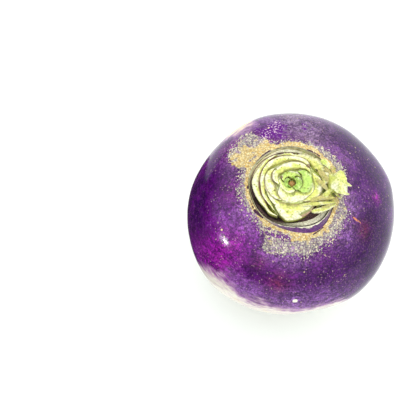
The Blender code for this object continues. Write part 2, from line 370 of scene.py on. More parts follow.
def run_growth(piece, tree, values):
    """Runs a tree on a piece, keeps the result as a plain mesh and drops the modifier."""
    modifier = piece.modifiers.new(tree.name, "NODES")
    modifier.node_group = tree
    for item in tree.interface.items_tree:
        if item.in_out == "INPUT" and item.name in values:
            modifier[item.identifier] = values[item.name]
    graph = bpy.context.evaluated_depsgraph_get()
    plain = bpy.data.meshes.new_from_object(piece.evaluated_get(graph))
    piece.modifiers.clear()
    piece.data = plain
    print(tree.name, "made", count_triangles(piece), "triangles")


# %% [markdown]
# ## The shape of the root
#
# The root is a flattened round body: a superellipse turned about its axis, fuller above
# its widest part than below. Broad swellings and flats keep it from looking turned on a
# lathe. The crown's dish has three low steps, the scars of fallen leaves, and the
# taproot is trimmed to a small flat cut. The formulas are those of the CAD part, so the
# fine mesh lies on the solid everywhere. They work on whole arrays of directions.

# %% Sizes of the root
WIDEST_RADIUS = 49.5 * MM
WIDEST_HEIGHT = 41 * MM
UPPER_RISE = 35 * MM
LOWER_DROP = 37 * MM
UPPER_FULLNESS = 2.25
LOWER_FULLNESS = 2.05
LEAN_HEIGHT = 28 * MM

# Broad swellings and flats: direction, latitude and reach in degrees, height in mm
SWELLINGS = (
    (222, -8, 26, 1.9),
    (144, 20, 24, -1.8),
    (308, -12, 20, 0.6),
    (283, -14, 14, -1.3),
    (18, 8, 16, 1.2),
    (60, 20, 22, 0.6),
    (20, -40, 26, -1.0),
)
CUT_RADIUS = 9.5 * MM
NECK_RADIUS = 21 * MM
NECK_BEND_RADIUS = 12.5 * MM
NECK_BEND_SHARE = 0.62
NECK_WAVE = 0.35 * MM
NECK_WAVES = 3

CROWN_CENTRE = np.array([-2.2, 0.6, 0]) * MM
FLOOR_HEIGHT = 69.6 * MM
FLOOR_INSET = 0.6 * MM

# The dish's steps: plain radius in mm, and for each lobe how far it stands out in mm, its
# direction and its reach in degrees
STEPS = (
    (18.2, ((-1.6, 92, 34), (-0.9, -72, 38))),
    (18.7, ((1.9, -48, 45),)),
    (19.2, ((4.7, -64, 42),)),
)
STEP_LEVELS = (0, 0.6, 0.82, 1)
STEP_WIDTH = 0.36 * MM
STEP_WAVE = 0.22 * MM
STEP_WAVES = 5
LOBE_POWER = 1.5
SHOULDER_RADIUS = 28.5 * MM
CORK_RISE = 0.5 * MM
print("root", round(2 * WIDEST_RADIUS / MM, 1), "mm wide, with", len(STEPS), "steps in its dish")


# %% Small functions of direction
def all_round(count):
    """Directions all round, at even turns."""
    return np.arange(count) * math.tau / count


def up_to(first, last, count):
    """So many even values from just after the first up to the last."""
    return np.linspace(first, last, count + 1)[1:]


def bell(turn, reach, power=2):
    """A hump of height 1 over that turn from its middle, sharper for a lower power."""
    return np.exp(-(np.abs(turn / reach) ** power))


def turn_between(direction, centre):
    """The turn from a centre in degrees to directions in radians, in radians."""
    return (direction - math.radians(centre) + np.pi) % math.tau - np.pi


def fan(direction, centre, reach, power=4):
    """A hump of height 1 round a direction: centre and reach are in degrees."""
    return bell(turn_between(direction, centre), math.radians(reach), power)


def smooth_step(value):
    """0 below 0, 1 above 1, with an even S between."""
    share = np.clip(value, 0, 1)
    return share * share * (3 - 2 * share)


def curve_point(points, share):
    """A point of the quadratic curve through the first and last, led by the second."""
    first, lead, last = points
    return first * (1 - share) ** 2 + lead * 2 * share * (1 - share) + last * share**2


def outward(direction, radius=1.0, height=0.0, side=0.0):
    """Points out along each direction, and so far to the left of it, at a height."""
    cosine, sine = np.cos(direction), np.sin(direction)
    x, y = cosine * radius - sine * side, sine * radius + cosine * side
    return np.stack([x, y, np.zeros_like(x) + height], axis=-1)


def ripple(direction, waves, height, seed):
    """An uneven wave round the crown: several sines, each with a drawn start."""
    draw = np.random.default_rng(seed)
    sines = [np.sin(count * direction + draw.uniform(0, math.tau)) for count in waves]
    return height * sum(sines) / len(waves)


# %% Points on the body, the neck, the dish and the cut
def body_point(polar, direction):
    """Points on the skin at an angle from the top of the axis."""
    cosine, sine = np.cos(polar), np.sin(polar)
    fullness = np.where(cosine > 0, UPPER_FULLNESS, LOWER_FULLNESS)
    reach = np.where(cosine > 0, UPPER_RISE, LOWER_DROP)
    radius = WIDEST_RADIUS * np.abs(sine) ** (2 / fullness)
    height = WIDEST_HEIGHT + reach * np.abs(cosine) ** (2 / fullness) * np.sign(cosine)
    latitude = np.pi / 2 - polar
    for centre, level, spread, swell in SWELLINGS:
        turn = turn_between(direction, centre) * np.cos(latitude)
        rise = latitude - math.radians(level)
        out = swell * MM * bell(np.hypot(turn, rise), math.radians(spread))
        radius = radius + out * sine
        height = height + out * cosine
    lean = smooth_step((height - WIDEST_HEIGHT) / LEAN_HEIGHT)
    return outward(direction, radius, height) + CROWN_CENTRE * np.asarray(lean)[..., None]


def body_polar(radius, upper):
    """The angle from the top at which the plain body has that radius."""
    fullness = UPPER_FULLNESS if upper else LOWER_FULLNESS
    polar = np.arcsin((radius / WIDEST_RADIUS) ** (fullness / 2))
    return polar if upper else np.pi - polar


def neck_point(share, direction):
    """Points on the hollow curve from the body (share 0) down to the cut (share 1)."""
    start = body_point(body_polar(NECK_RADIUS, upper=False), direction)
    wave = NECK_WAVE * np.cos(NECK_WAVES * direction)
    bend = outward(direction, NECK_BEND_RADIUS + wave, start[..., 2] * NECK_BEND_SHARE)
    return curve_point((start, bend, outward(direction, CUT_RADIUS + wave)), share)


def step_radius(index, direction):
    """Radius of one of the dish's steps about the crown."""
    radius, lobes = STEPS[index]
    radius = radius * MM
    for height, centre, reach in lobes:
        radius = radius + height * MM * fan(direction, centre, reach, LOBE_POWER)
    return radius + STEP_WAVE * np.sin(STEP_WAVES * direction)


def step_point(index, side, direction):
    """Points at the foot (side -1) or the top (side 1) of a step."""
    radius = step_radius(index, direction) + side * STEP_WIDTH / 2
    skin = body_point(body_polar(radius, upper=True), direction)
    level = STEP_LEVELS[index] if side < 0 else STEP_LEVELS[index + 1]
    skin[..., 2] = FLOOR_HEIGHT + (skin[..., 2] + CORK_RISE - FLOOR_HEIGHT) * level
    return skin


def lip_radius(direction):
    """Radius of the lip about the crown."""
    return step_radius(len(STEPS) - 1, direction) + STEP_WIDTH / 2


def shoulder_point(share, direction):
    """Points of the corky ring, from the lip (share 0) to the shoulder (share 1)."""
    lip = lip_radius(direction)
    radius = lip + (SHOULDER_RADIUS - lip) * share
    skin = body_point(body_polar(radius, upper=True), direction)
    skin[..., 2] += CORK_RISE * (1 - smooth_step(share))
    return skin


print("widest point in front in mm", np.round(body_point(np.pi / 2, -np.pi / 2) / MM, 1))

# %% [markdown]
# ## A fine mesh for the root
#
# The rings run from the middle of the dish out over the steps, the corky ring and the
# body, and in under the neck to the cut. They lie close where the detail is: 0.4 mm
# apart on the corky ring and 0.9 mm on the plain skin. Each ring of the dish also knows
# how far out on the terraces it lies, which the finish uses later. Where the leaf bases
# stand back from the dish's wall, at the upper left, a low shelf fills its foot and the
# terraces rise towards the lip.

# %% Rings of the dish
ROUND = 360
DIRECTIONS = all_round(ROUND)
FLOOR_RINGS = 6
WALL_RINGS = 4
TERRACE_RINGS = 6
# The shelf: its direction and reach in degrees, its width and its share of the first step
SHELF_DIRECTION = 130
SHELF_REACH = 34
SHELF_WIDTH = 1.4 * MM
SHELF_SHARE = 0.8
SHELF_RINGS = 4
# How far out the shelf's two edges count as terrace
SHELF_EDGES = (0.15, 0.85)
# How far, as a share, the terraces rise towards the lip round the upper left
LIFT_DIRECTION = 140
LIFT_REACH = 52
LIFT_SHARE = 0.62

rings, terraces = [], []


def add_rings(first, last, shares, low, high):
    """Rings between two others, and how far out on the terraces they lie."""
    for share in shares:
        rings.append(first + (last - first) * share)
        terraces.append(low + (high - low) * share)


shelf = fan(DIRECTIONS, SHELF_DIRECTION, SHELF_REACH)
shelf_rise = SHELF_SHARE * shelf * (step_point(0, 1, DIRECTIONS)[:, 2] - FLOOR_HEIGHT)
foot = step_point(0, -1, DIRECTIONS) - outward(DIRECTIONS, FLOOR_INSET + SHELF_WIDTH * shelf)
foot[:, 2] = FLOOR_HEIGHT
shelf_start = foot + outward(DIRECTIONS, STEP_WIDTH, shelf_rise)
shelf_end = step_point(0, -1, DIRECTIONS) + outward(DIRECTIONS, 0.0, shelf_rise)
dish_middle = CROWN_CENTRE + np.array([0, 0, FLOOR_HEIGHT])
add_rings(dish_middle, foot, up_to(0, 1, FLOOR_RINGS), 0, 1)
shelf_terraces = [1 + shelf * edge for edge in SHELF_EDGES]
shelf_shares = np.linspace(0, 1, SHELF_RINGS, endpoint=False)
add_rings(shelf_start, shelf_end, shelf_shares, *shelf_terraces)
for index in range(len(STEPS)):
    low = step_point(index, -1, DIRECTIONS) if index else shelf_end
    high = step_point(index, 1, DIRECTIONS)
    add_rings(low, high, np.linspace(0, 1, WALL_RINGS), index + 1, index + 1)
    if index + 1 < len(STEPS):
        beyond = step_point(index + 1, -1, DIRECTIONS)
        between = up_to(0, 1, TERRACE_RINGS + 1)[:-1]
        add_rings(high, beyond, between, index + 1, index + 2)
LIP_RING = len(rings)
print("rings of the dish", LIP_RING)

# %% Rings of the corky ring, the body, the neck and the cut
SHOULDER_RINGS = 22
UPPER_RINGS = 24
UPPER_EDGE_RADIUS = 38 * MM
BODY_RINGS = 106
NECK_RINGS = 18
CUT_RINGS = 4
CUT_LIFT = 0.25 * MM

shoulder_polar = body_polar(SHOULDER_RADIUS, upper=True)
edge_polar = body_polar(UPPER_EDGE_RADIUS, upper=True)
neck_polar = body_polar(NECK_RADIUS, upper=False)
polars = [*up_to(shoulder_polar, edge_polar, UPPER_RINGS)]
polars += [*up_to(edge_polar, neck_polar, BODY_RINGS)]
rings += [shoulder_point(share, DIRECTIONS) for share in up_to(0, 1, SHOULDER_RINGS)]
rings += [body_point(polar, DIRECTIONS) for polar in polars]
rings += [neck_point(share, DIRECTIONS) for share in up_to(0, 1, NECK_RINGS)]
cut_edge = rings[-1]
rings += [cut_edge * (1 - share) for share in up_to(0, 1, CUT_RINGS + 1)[:-1]]
terraces += [len(STEPS) + 1.0] * (len(rings) - len(terraces))

root_rings = np.array(rings)
root_rings[-CUT_RINGS:, :, 2] += CUT_LIFT
lift = LIFT_SHARE * fan(DIRECTIONS, LIFT_DIRECTION, LIFT_REACH)
dish = slice(FLOOR_RINGS, LIP_RING)
root_rings[dish, :, 2] += lift * (root_rings[LIP_RING - 1, :, 2] - root_rings[dish, :, 2])
terrace_field = np.array([np.broadcast_to(value, ROUND) for value in terraces])
ROOT_POLES = dish_middle, np.array([0, 0, CUT_LIFT])
print("rings", len(rings), "points", len(rings) * ROUND)

# %% [markdown]
# ## Where each colour lies
#
# Cork, cream and blotches sit at their places on this root, so they are painted as point
# fields: soft maps that the finish sharpens with noise. Not all blotches are marks of the
# skin: the dark ones at the two sides are partly painted shade, the pale ones partly
# painted sheen, and the magenta ones partly a painted glow round the highlight. The corky
# ring's outer edge is given by its radius in a few directions. It grows to a tongue at
# the upper left and to a broad patch in front, and a strip of purple skin parts that
# patch from the ring. At the strip's left end the patch has a solid tip.

# %% The corky ring, its tan parts and the purple's lower edge
# Radius of the ring's outer edge about the crown: direction in degrees, radius in mm
CORK_EDGE = (
    (0, 24), (24, 26.4), (41, 25.4), (59, 24.6), (72, 23.2), (87, 22.8), (104, 22.6), (111, 24),
    (116, 28.4), (120, 34), (127, 35.6), (136, 34.4), (143, 34), (149, 33.4), (155, 30), (160, 24),
    (170, 23.8), (194, 23.6), (214, 23.4), (229, 23.8), (242, 25.4), (246, 31), (256, 31.6),
    (268, 31.6), (282, 33.4), (291, 31.8), (307, 30.2), (323, 28.8), (338, 28), (344, 25),
)
STRIP_RADIUS = 25.1 * MM
STRIP_HALF_WIDTH = 1.3 * MM
STRIP_DIRECTION = 252
STRIP_REACH = 17
TAN_WIDTH = 2.0 * MM
# Soft areas of the ring: direction in degrees, radius in mm, reach in degrees, half depth
SOLID_TIP = (254, 29.2, 12, 2.6)
SOLID_DEPTH = 2.4 * MM
TAN_AREAS = (
    (146, 26.4, 14, 5.6),
    (121, 23.4, 16, 2.8),
    (285, 25.4, 20, 1.0),
    (60, 20.9, 55, 1.4),
)

# Height of the purple's lower edge above the ground: direction in degrees, height in mm
PURPLE_EDGE = (
    (0, 30), (45, 31), (80, 33), (98, 39), (108, 50), (115, 60), (124, 61.5), (132, 58.5),
    (141, 48), (152, 39), (180, 33), (205, 35), (213, 43.4), (219, 47.4), (226, 50.2), (235, 47.6),
    (243, 45), (250, 44.6), (258, 43.8), (272, 43), (290, 43), (305, 35), (330, 31),
)
# How the purple turns from violet at the left to grey at the right and the back
VIOLET_WIDTH = 90 * MM
VIOLET_LENGTH = 400 * MM

from_crown = root_rings[..., :2] - CROWN_CENTRE[:2]
radius = np.hypot(from_crown[..., 0], from_crown[..., 1])
direction = np.arctan2(from_crown[..., 1], from_crown[..., 0])
body_direction = np.arctan2(root_rings[..., 1], root_rings[..., 0])
height = root_rings[..., 2]
lip = lip_radius(direction)


def by_direction(table, where):
    """The value of a table of directions and sizes in mm, in metres."""
    turns, sizes = np.array(table).T
    return np.interp(np.degrees(where) % 360, turns, sizes, period=360) * MM


def ring_area(centre, middle, reach, depth):
    """A soft area of the corky ring."""
    return fan(direction, centre, reach) * bell(radius - middle * MM, depth * MM)


cork = by_direction(CORK_EDGE, direction) - radius
strip_turn = turn_between(direction, STRIP_DIRECTION) / math.radians(STRIP_REACH)
strip = STRIP_HALF_WIDTH * (1 - strip_turn**2) - np.abs(radius - STRIP_RADIUS)
cork = np.minimum(cork, np.where(np.abs(strip_turn) < 1, -strip, cork))
cork = np.where(height > WIDEST_HEIGHT, cork, -10 * MM)
cork = cork + SOLID_DEPTH * ring_area(*SOLID_TIP)
tan = 1 - smooth_step((radius - lip - TAN_WIDTH * 0.4) / TAN_WIDTH)
tan = np.clip(tan + sum(ring_area(*area) for area in TAN_AREAS), 0, 1)
violet = 0.5 - root_rings[..., 0] / VIOLET_WIDTH - root_rings[..., 1] / VIOLET_LENGTH
print("share of the points on cork", round(float((cork > 0).mean()), 2))

# %% Blotches at their places on the skin, some of them painted light and shade
# Place in mm, reach in mm and strength of each soft blotch, by kind
BLOTCHES = {
    # Dark: partly real dark marks, and at the left and right sides painted shade
    "dark_and_shade": (
        (-46, -5, 55, 13, 0.9), (-42, -16, 58, 9, 0.6), (-42, 2, 60, 9, 0.55),
        (-37, 8, 64, 9, 0.6), (-20.1, -35.2, 63.7, 5, 0.6), (-16, -38.6, 62, 6, 0.3),
        (-1, -37.3, 65.5, 6, 0.2), (9.4, -42.2, 59.2, 8, 0.3), (25, -32.4, 61.2, 9, 0.62),
        (33.4, -13.8, 65.2, 8, 0.6), (39, 4, 61, 10, 0.65), (38, -14, 60, 8, 0.5),
        (40, -20, 54, 12, 1.0), (33, -31, 52, 10, 0.6), (37, 14, 63, 8, 0.5),
        (27, 28, 64, 10, 0.65), (29.5, 6.3, 69.3, 5, 0.35), (4.6, 34.9, 67.7, 1.6, 1.0),
    ),
    "red": (
        (-8.3, -41.5, 61.2, 5, 0.6), (-29, -2, 70.5, 5, 0.12), (30.7, -17.7, 65.8, 4, 0.35),
        (-17, -33, 66, 3.5, 0.3),
    ),
    # Magenta: partly real magenta skin, partly a painted glow round the highlight on the lower left
    "magenta_and_glow": (
        (-31.8, -26.8, 63.4, 9, 0.9), (-27.3, -22.5, 68.2, 5, 0.25), (-38, -30, 55, 8, 0.5),
        (-41, -22, 50, 8, 0.4), (-12, 24, 72.5, 4, 0.4), (37.9, -1.2, 63.8, 2.4, 0.9),
        (-30, 22, 66, 5, 0.3),
    ),
    # Pale: partly real paler skin, partly painted sheen
    "pale": (
        (-1, 33, 69, 10, 0.5), (0, 42, 62, 9, 0.75), (15, 38, 62, 10, 0.35),
        (10, 27, 71, 8, 0.5), (25.7, 19, 68.6, 6, 0.15), (-26, -15, 71, 7, 0.6),
        (-30, 12, 68, 6, 0.35), (-30, -33, 60, 6, 0.4), (-12.5, -28, 70.2, 6, 0.45),
        (0, -31.7, 69.2, 5, 0.5), (24, -8, 71, 6, 0.6), (-34, -8, 67, 4, 0.25),
        (-5.5, -34, 68.4, 5, 0.2), (23, -22, 68.2, 6.5, 0.6), (-24, 34, 62, 7, 0.7),
        (-2, -48, 50, 10, 0.6), (14, -45, 50, 9, 0.4), (-22, -42, 52, 8, 0.5),
        (30, -33, 54, 8, 0.3),
    ),
    "speckled": (
        (-9.6, 31.1, 69.6, 4.6, 1.0), (-13.1, 27.4, 70.8, 2.8, 0.9),
        (-7.3, 36.2, 66.9, 2.6, 0.8), (-5, 32.4, 69.4, 2.4, 0.6),
        (-16.5, 32.2, 67.6, 2.2, 0.5), (-5, 25.6, 72.4, 3.0, 0.5),
        (5.3, 34.4, 67.9, 1.8, 0.8), (5.5, 31.4, 69.6, 1.2, 0.8), (9.7, 32, 68.6, 1.1, 0.7),
    ),
}


def blotch_field(blotches):
    """The strength of a kind of blotch at every point of the root."""
    total = 0
    for *place, reach, strength in blotches:
        away = np.linalg.norm(root_rings - np.array(place) * MM, axis=-1)
        total = total + strength * bell(away, reach * MM)
    return np.clip(total, 0, 1)


print("blotches:", {kind: len(blotches) for kind, blotches in BLOTCHES.items()})

# %% Scars of old leaves in the ring, and the widths of the terraces
# First and last direction in degrees, radius at each end and half width in mm
SCAR_ARCS = (
    (201, 207, 20.1, 20.1, 0.24),
    (210, 212, 20.4, 20.4, 0.3),
    (216, 229, 20.6, 20.1, 0.6),
    (181, 184, 19.6, 19.7, 0.26),
    (118, 150, 19.5, 18.9, 0.4),
    (47, 65, 20.0, 19.5, 0.3),
    (292, 305, 24.9, 24.2, 0.2),
)
NO_SCAR = -2
# The last terrace is taken to be so wide, in mm
LAST_LEDGE = 3
# The purple band and the shaded part of the dish: direction and reach in degrees
BAND = (-74, 48)
MOAT = (214, 54)


def arc_depth(first, last, first_radius, last_radius, half_width):
    """How far inside an arc each point lies, in mm, and negative outside it."""
    middle, half = (first + last) / 2, (last - first) / 2
    turn = np.degrees(turn_between(direction, middle))
    along = np.clip(turn / half, -1, 1)
    arc_radius = (first_radius + last_radius) / 2 + (last_radius - first_radius) / 2 * along
    beyond = np.radians(np.maximum(np.abs(turn) - half, 0)) * arc_radius
    return half_width - np.hypot(radius / MM - arc_radius, beyond)


scar = np.maximum(np.max([arc_depth(*arc) for arc in SCAR_ARCS], axis=0), NO_SCAR)
edges = np.array([step_radius(index, DIRECTIONS) for index in range(len(STEPS))]) / MM
ledges = np.diff(edges, axis=0, append=edges[-1:] + LAST_LEDGE)
which = np.clip(np.floor(terrace_field).astype(int) - 1, 0, len(STEPS) - 1)
root_fields = {kind: blotch_field(blotches) for kind, blotches in BLOTCHES.items()}
root_fields.update(
    cork=cork / MM,
    tan=tan,
    purple=(height - by_direction(PURPLE_EDGE, body_direction)) / MM,
    violet=smooth_step(violet),
    height=height / MM,
    terrace=terrace_field,
    ledge=np.take_along_axis(ledges, which, axis=0),
    band=fan(direction, *BAND),
    moat=fan(direction, *MOAT),
    scar=np.where(height > WIDEST_HEIGHT, scar, NO_SCAR),
)
print("fields of the root:", ", ".join(sorted(root_fields)))

# %% [markdown]
# ## Relief of the skin with Geometry Nodes
#
# A real skin is never smooth: it is gently uneven over a few centimetres, the cork
# stands up in crumbs, and the neck is wrinkled across. All three are noise that follows
# the surface, so a Geometry Nodes tree moves each point along its normal. The cork
# field says how much of the crumb a point gets.

# %% A tree that raises bumps, crumbs and wrinkles
bench, entry = new_growth(
    "skin relief",
    {
        "Bump size": 16 * MM,
        "Bump height": 0.5 * MM,
        "Crumb size": 1.1 * MM,
        "Crumb height": 0.55 * MM,
        "Wrinkle size": 1.3 * MM,
        "Wrinkle height": 0.35 * MM,
        "Neck height": 16 * MM,
    },
)
WRINKLE_STRETCH = (0.12, 0.12, 1.0)


def relief(kind, detail=3.0, place=None):
    """Noise of a kind's size and height, half of it below the surface."""
    scale = bench.reckon("DIVIDE", 1.0, entry[kind + " size"])
    noise = bench.noise(detail=detail, place=place, scale=scale)
    return (noise - 0.5) * entry[kind + " height"]


above_ground = bench.place.parts()[2]
off_ground = above_ground.ease(0.3 * MM, 2 * MM)
near_neck = (above_ground / entry["Neck height"]).ease(0.3, 1.0, 1.0, 0.0) * off_ground
bumps = relief("Bump", 1.0) * off_ground
crumbs = relief("Crumb") * bench.field("cork").ease(-0.6, 0.8)
wrinkle_place = bench.place.vector("MULTIPLY", WRINKLE_STRETCH)
wrinkles = relief("Wrinkle", place=wrinkle_place) * near_neck
shift = bench.make("GeometryNodeInputNormal").times(bumps + crumbs + wrinkles)
moving = {"Geometry": entry["Geometry"], "Offset": shift}
skin_relief = close_growth(bench, bench.make("GeometryNodeSetPosition", moving))

# %% [markdown]
# ## The purple skin and its cork
#
# One finish covers the whole root, because on the real one cork, purple and cream run
# into each other. The purple is laid in several scales: clouds of 25 mm, mottling of
# 6 mm, grain of 1.6 mm, dust of 0.8 mm, and streaks of 1.1 mm round the root. Pale
# pinkish dots are the skin's breathing pores. Scratches and spots stand at their own
# places, so two small node groups make them: one measures the distance to a line, the
# other to a point.

# %% Node groups for a scratch and a spot
# How a scratch wavers: scale of the noise and reach in mm. A spot's edge has a scale only
SCRATCH_WOBBLE = (500.0, 1.2)
SPOT_WOBBLE = 700.0
scratch_inputs = {"Place": VECTOR, "Start": VECTOR, "End": VECTOR, "Width": NUMBER}
bench = new_tree("scratch", "ShaderNodeTree", NUMBER, scratch_inputs)
start = bench.entry["Start"]
from_start = bench.jostle(bench.entry["Place"], *SCRATCH_WOBBLE).vector("SUBTRACT", start)
along = bench.entry["End"].vector("SUBTRACT", start)
covered = from_start.vector("DOT_PRODUCT", along)
share = bench.reckon("DIVIDE", covered, along.vector("DOT_PRODUCT", along), clamp=True)
away = from_start.vector("DISTANCE", along.times(share))
half_width = bench.entry["Width"] * (share * (1.0 - share) * 4.0 + 0.25)
bench.feed(bench.exit, (away / half_width).ease(0.25, 0.7, 1.0, 0.0))
scratch_group = bench.tree

spot_inputs = {"Place": VECTOR, "Centre": VECTOR, "Reach": NUMBER, "Raggedness": NUMBER}
bench = new_tree("spot", "ShaderNodeTree", NUMBER, spot_inputs)
entry = bench.entry
wobble = bench.noise(detail=3.0, place=entry["Place"], scale=SPOT_WOBBLE) - 0.5
away = entry["Place"].vector("DISTANCE", entry["Centre"]) / entry["Reach"]
bench.feed(bench.exit, (away + wobble * entry["Raggedness"]).ease(0.8, 1.1, 1.0, 0.0))
spot_group = bench.tree


def scratch(place, start, end, width):
    """How far a scratch covers each place: its ends and its width are in mm."""
    inputs = {"Place": place, "Start": Vector(start) * MM, "End": Vector(end) * MM}
    inputs["Width"] = width * MM
    return place.bench.make("ShaderNodeGroup", inputs, node_tree=scratch_group)


def spot(place, centre, reach, raggedness):
    """How far a ragged spot covers each place: its centre and reach are in mm."""
    inputs = {"Place": place, "Centre": Vector(centre) * MM, "Reach": reach * MM}
    inputs["Raggedness"] = raggedness
    return place.bench.make("ShaderNodeGroup", inputs, node_tree=spot_group)


print("mark groups:", scratch_group.name, spot_group.name)

# %% Colours of the skin
PURPLE_VIOLET = (104, 14, 122)
PURPLE_GREY = (60, 8, 86)
PURPLE_DARK = (46, 0, 68)
# Magenta of the skin, also laid as a painted glow round the highlight
MAGENTA_AND_GLOW_TONE = (140, 28, 142)
# Pale tones: partly paler skin, partly painted sheen
GREY_PALE_AND_SHEEN = (124, 100, 132)
LILAC_PALE_AND_SHEEN = (142, 94, 166)
PURPLE_LILAC = (126, 62, 150)
SPECKLE_DEEP = (92, 0, 122)
SPECKLE_LIGHT = (240, 206, 226)
FLECK = (168, 122, 142)
FLECK_VIOLET = (160, 84, 168)
RED_BROWN = (116, 40, 70)
PORE = (190, 150, 160)
DUST = (186, 148, 176)
PINK_EDGE = (196, 146, 190)
CREAM = (250, 244, 228)
CREAM_TAN = (238, 216, 158)
CORK_TAN = (222, 186, 106)
CORK_LIGHT = (246, 230, 172)
CORK_GREY = (168, 164, 154)
CORK_WHITE = (228, 222, 198)
CORK_DARK = (70, 36, 66)
SCAR_TAN = (226, 218, 172)
SCAR_GREY = (236, 235, 208)
SCAR_DARK = (46, 34, 34)
SCAR_SHADE = (140, 112, 112)
BAND_PURPLE = (72, 4, 100)
SOIL = (120, 92, 66)
ORANGE = (236, 150, 84)

# Pores, from fine specks to clear dots: size of the cells in mm, reach of a dot in its
# cell, share of the cells that have none, colour
PORES = (
    (1.1, 0.32, 0.72, PORE),
    (1.9, 0.22, 0.7, PORE),
    (3.3, 0.13, 0.68, CREAM_TAN),
    (8.5, 0.07, 0.45, CREAM_TAN),
)
# Scratches: start and end in mm, width in mm, colour
SCRATCHES = (
    ((25.1, -12.8, 70.1), (29.7, -15.1, 67.2), 0.8, ORANGE),
    ((28, -19, 66.2), (33, -16.5, 64.8), 0.45, RED_BROWN),
    ((-20.5, -33.7, 64.6), (-20.1, -37.4, 61.6), 0.5, PORE),
    ((-20.3, -36, 62.7), (-19.2, -38.8, 60.2), 0.5, PORE),
    ((-37, -2, 67), (-33, -6.5, 69), 0.4, PINK_EDGE),
    ((-38, -8, 65.6), (-33.6, -10, 68), 0.35, PINK_EDGE),
    ((15.5, -35, 65), (19.4, -30.2, 67), 0.35, PORE),
)
SCRATCH_STRENGTH = 0.85
# Spots: centre in mm, reach in mm, colour
SPOTS = (
    ((-0.2, -47.3, 52.6), 1.25, CREAM),
    ((-33.6, -17.9, 66.5), 0.55, CREAM_TAN),
    ((-32.6, -21.2, 66.2), 0.4, CREAM_TAN),
    ((-17.5, -27.7, 69.6), 0.4, PORE),
)
SPOT_RAGGEDNESS = 0.7
print("pore sizes in mm", [size for size, *_ in PORES], "scratches", len(SCRATCHES))

# %% The purple, from clouds down to dust
root_finish, bench = new_finish("purple skin and cork")
clouds, mottle = bench.noise(25), bench.noise(6, 4, 0.6)
grain, dust = bench.noise(1.6, 4, 0.7), bench.noise(0.8, 3, 0.7)
fields = ("violet", "cork", "terrace", "moat", "dark_and_shade", "speckled")
violet, cork_depth, terrace, moat, dark_and_shade, speckled = map(bench.field, fields)

# Fine streaks run round the root: the noise reads the direction slowly and the rest fast
STREAK_ROUND = 15 * MM
_, towards_back, above_ground = bench.place.parts()
flat_place = bench.place.vector("MULTIPLY", (1.0, 1.0, 0.0))
from_axis = bench.combine(0.0, 0.0, flat_place.vector("LENGTH"))
streak_place = flat_place.vector("NORMALIZE").times(STREAK_ROUND).vector("ADD", from_axis)


def skin_streaks(size, detail):
    """Noise in four dimensions that is drawn out round the root's axis."""
    inputs = {"Vector": streak_place, "W": above_ground, "Scale": 1 / (size * MM)}
    inputs.update({"Detail": detail, "Roughness": 0.65})
    return bench.make("ShaderNodeTexNoise", inputs, noise_dimensions="4D")


streaky = skin_streaks(1.1, 4.0)
shade = clouds * 0.5 + mottle * 0.5
ragged = (mottle + grain).ease(0.85, 1.15)
# The pale blotches are partly painted sheen, greyer towards the back and lilac in front
pale_and_sheen_tone = bench.blend(towards_back.ease(-20 * MM, 20 * MM), LILAC_PALE_AND_SHEEN, GREY_PALE_AND_SHEEN)
colour = bench.coats(
    PURPLE_GREY,
    (violet, PURPLE_VIOLET),
    (shade.ease(0.52, 0.4, 0.0, 0.7), PURPLE_DARK),
    (shade.ease(0.5, 0.62, 0.0, 0.5), PURPLE_LILAC),
    (bench.field("pale").held(ragged + 0.4), pale_and_sheen_tone),
    # Dark blotches: partly real marks, partly painted shade at the two sides
    (dark_and_shade.held(ragged + 0.35), PURPLE_DARK),
    (bench.field("red").held(ragged + 0.35), RED_BROWN),
    # Magenta blotches: partly real colour, partly a painted glow round the highlight
    (bench.field("magenta_and_glow").held(ragged + 0.35), MAGENTA_AND_GLOW_TONE),
).times(
    grain.ease(0.38, 0.62, 0.8, 1.2),
    streaky.ease(0.38, 0.62, 0.72, 1.3),
    dust.ease(0.4, 0.6, 0.72, 1.3),
)
bench.tell("purple")

# %% Flecks, grey dust round the cork, and the speckled patch at the back
flecks = bench.noise(0.75).ease(0.52, 0.66) * violet.ease(0.2, 0.8, 0.18, 0.12)
fleck_tone = bench.blend(violet.ease(0.3, 0.7), FLECK, FLECK_VIOLET)
dusty = cork_depth.ease(-7.0, 0.5, 0.0, 0.36) * bench.noise(0.7, 3).ease(0.49, 0.62)
torn_patch = speckled + (bench.noise(1.8, 3) - 0.5) * 2.2
speckles = bench.noise(0.9).ease(0.56, 0.64) * speckled.ease(0.3, 0.8, 0.0, 0.8)
colour = bench.coats(
    colour,
    (flecks, fleck_tone),
    (dusty, DUST),
    (torn_patch.ease(0.25, 0.6), SPECKLE_DEEP),
    (speckles, SPECKLE_LIGHT),
)
bench.tell("flecks and speckles")

# %% Pores, scratches and spots
calm = dark_and_shade.ease(0.3, 0.9, 0.6, 0.15)
for size, reach, amount, tone in PORES:
    distance, drawn = bench.cells(size)
    chosen, strength, _ = drawn.parts("Color")
    chosen = chosen.ease(amount, amount + 0.05) * (calm * strength.ease(0.0, 1.0, 0.4, 1.4))
    dot = distance.ease(reach * 0.5, reach, 1.0, 0.0) * chosen
    colour = bench.blend(dot, colour, tone)
for *line, tone in SCRATCHES:
    colour = bench.blend(scratch(bench.place, *line) * SCRATCH_STRENGTH, colour, tone)
for centre, reach, tone in SPOTS:
    colour = bench.blend(spot(bench.place, centre, reach, SPOT_RAGGEDNESS), colour, tone)
bench.tell("pores and marks")

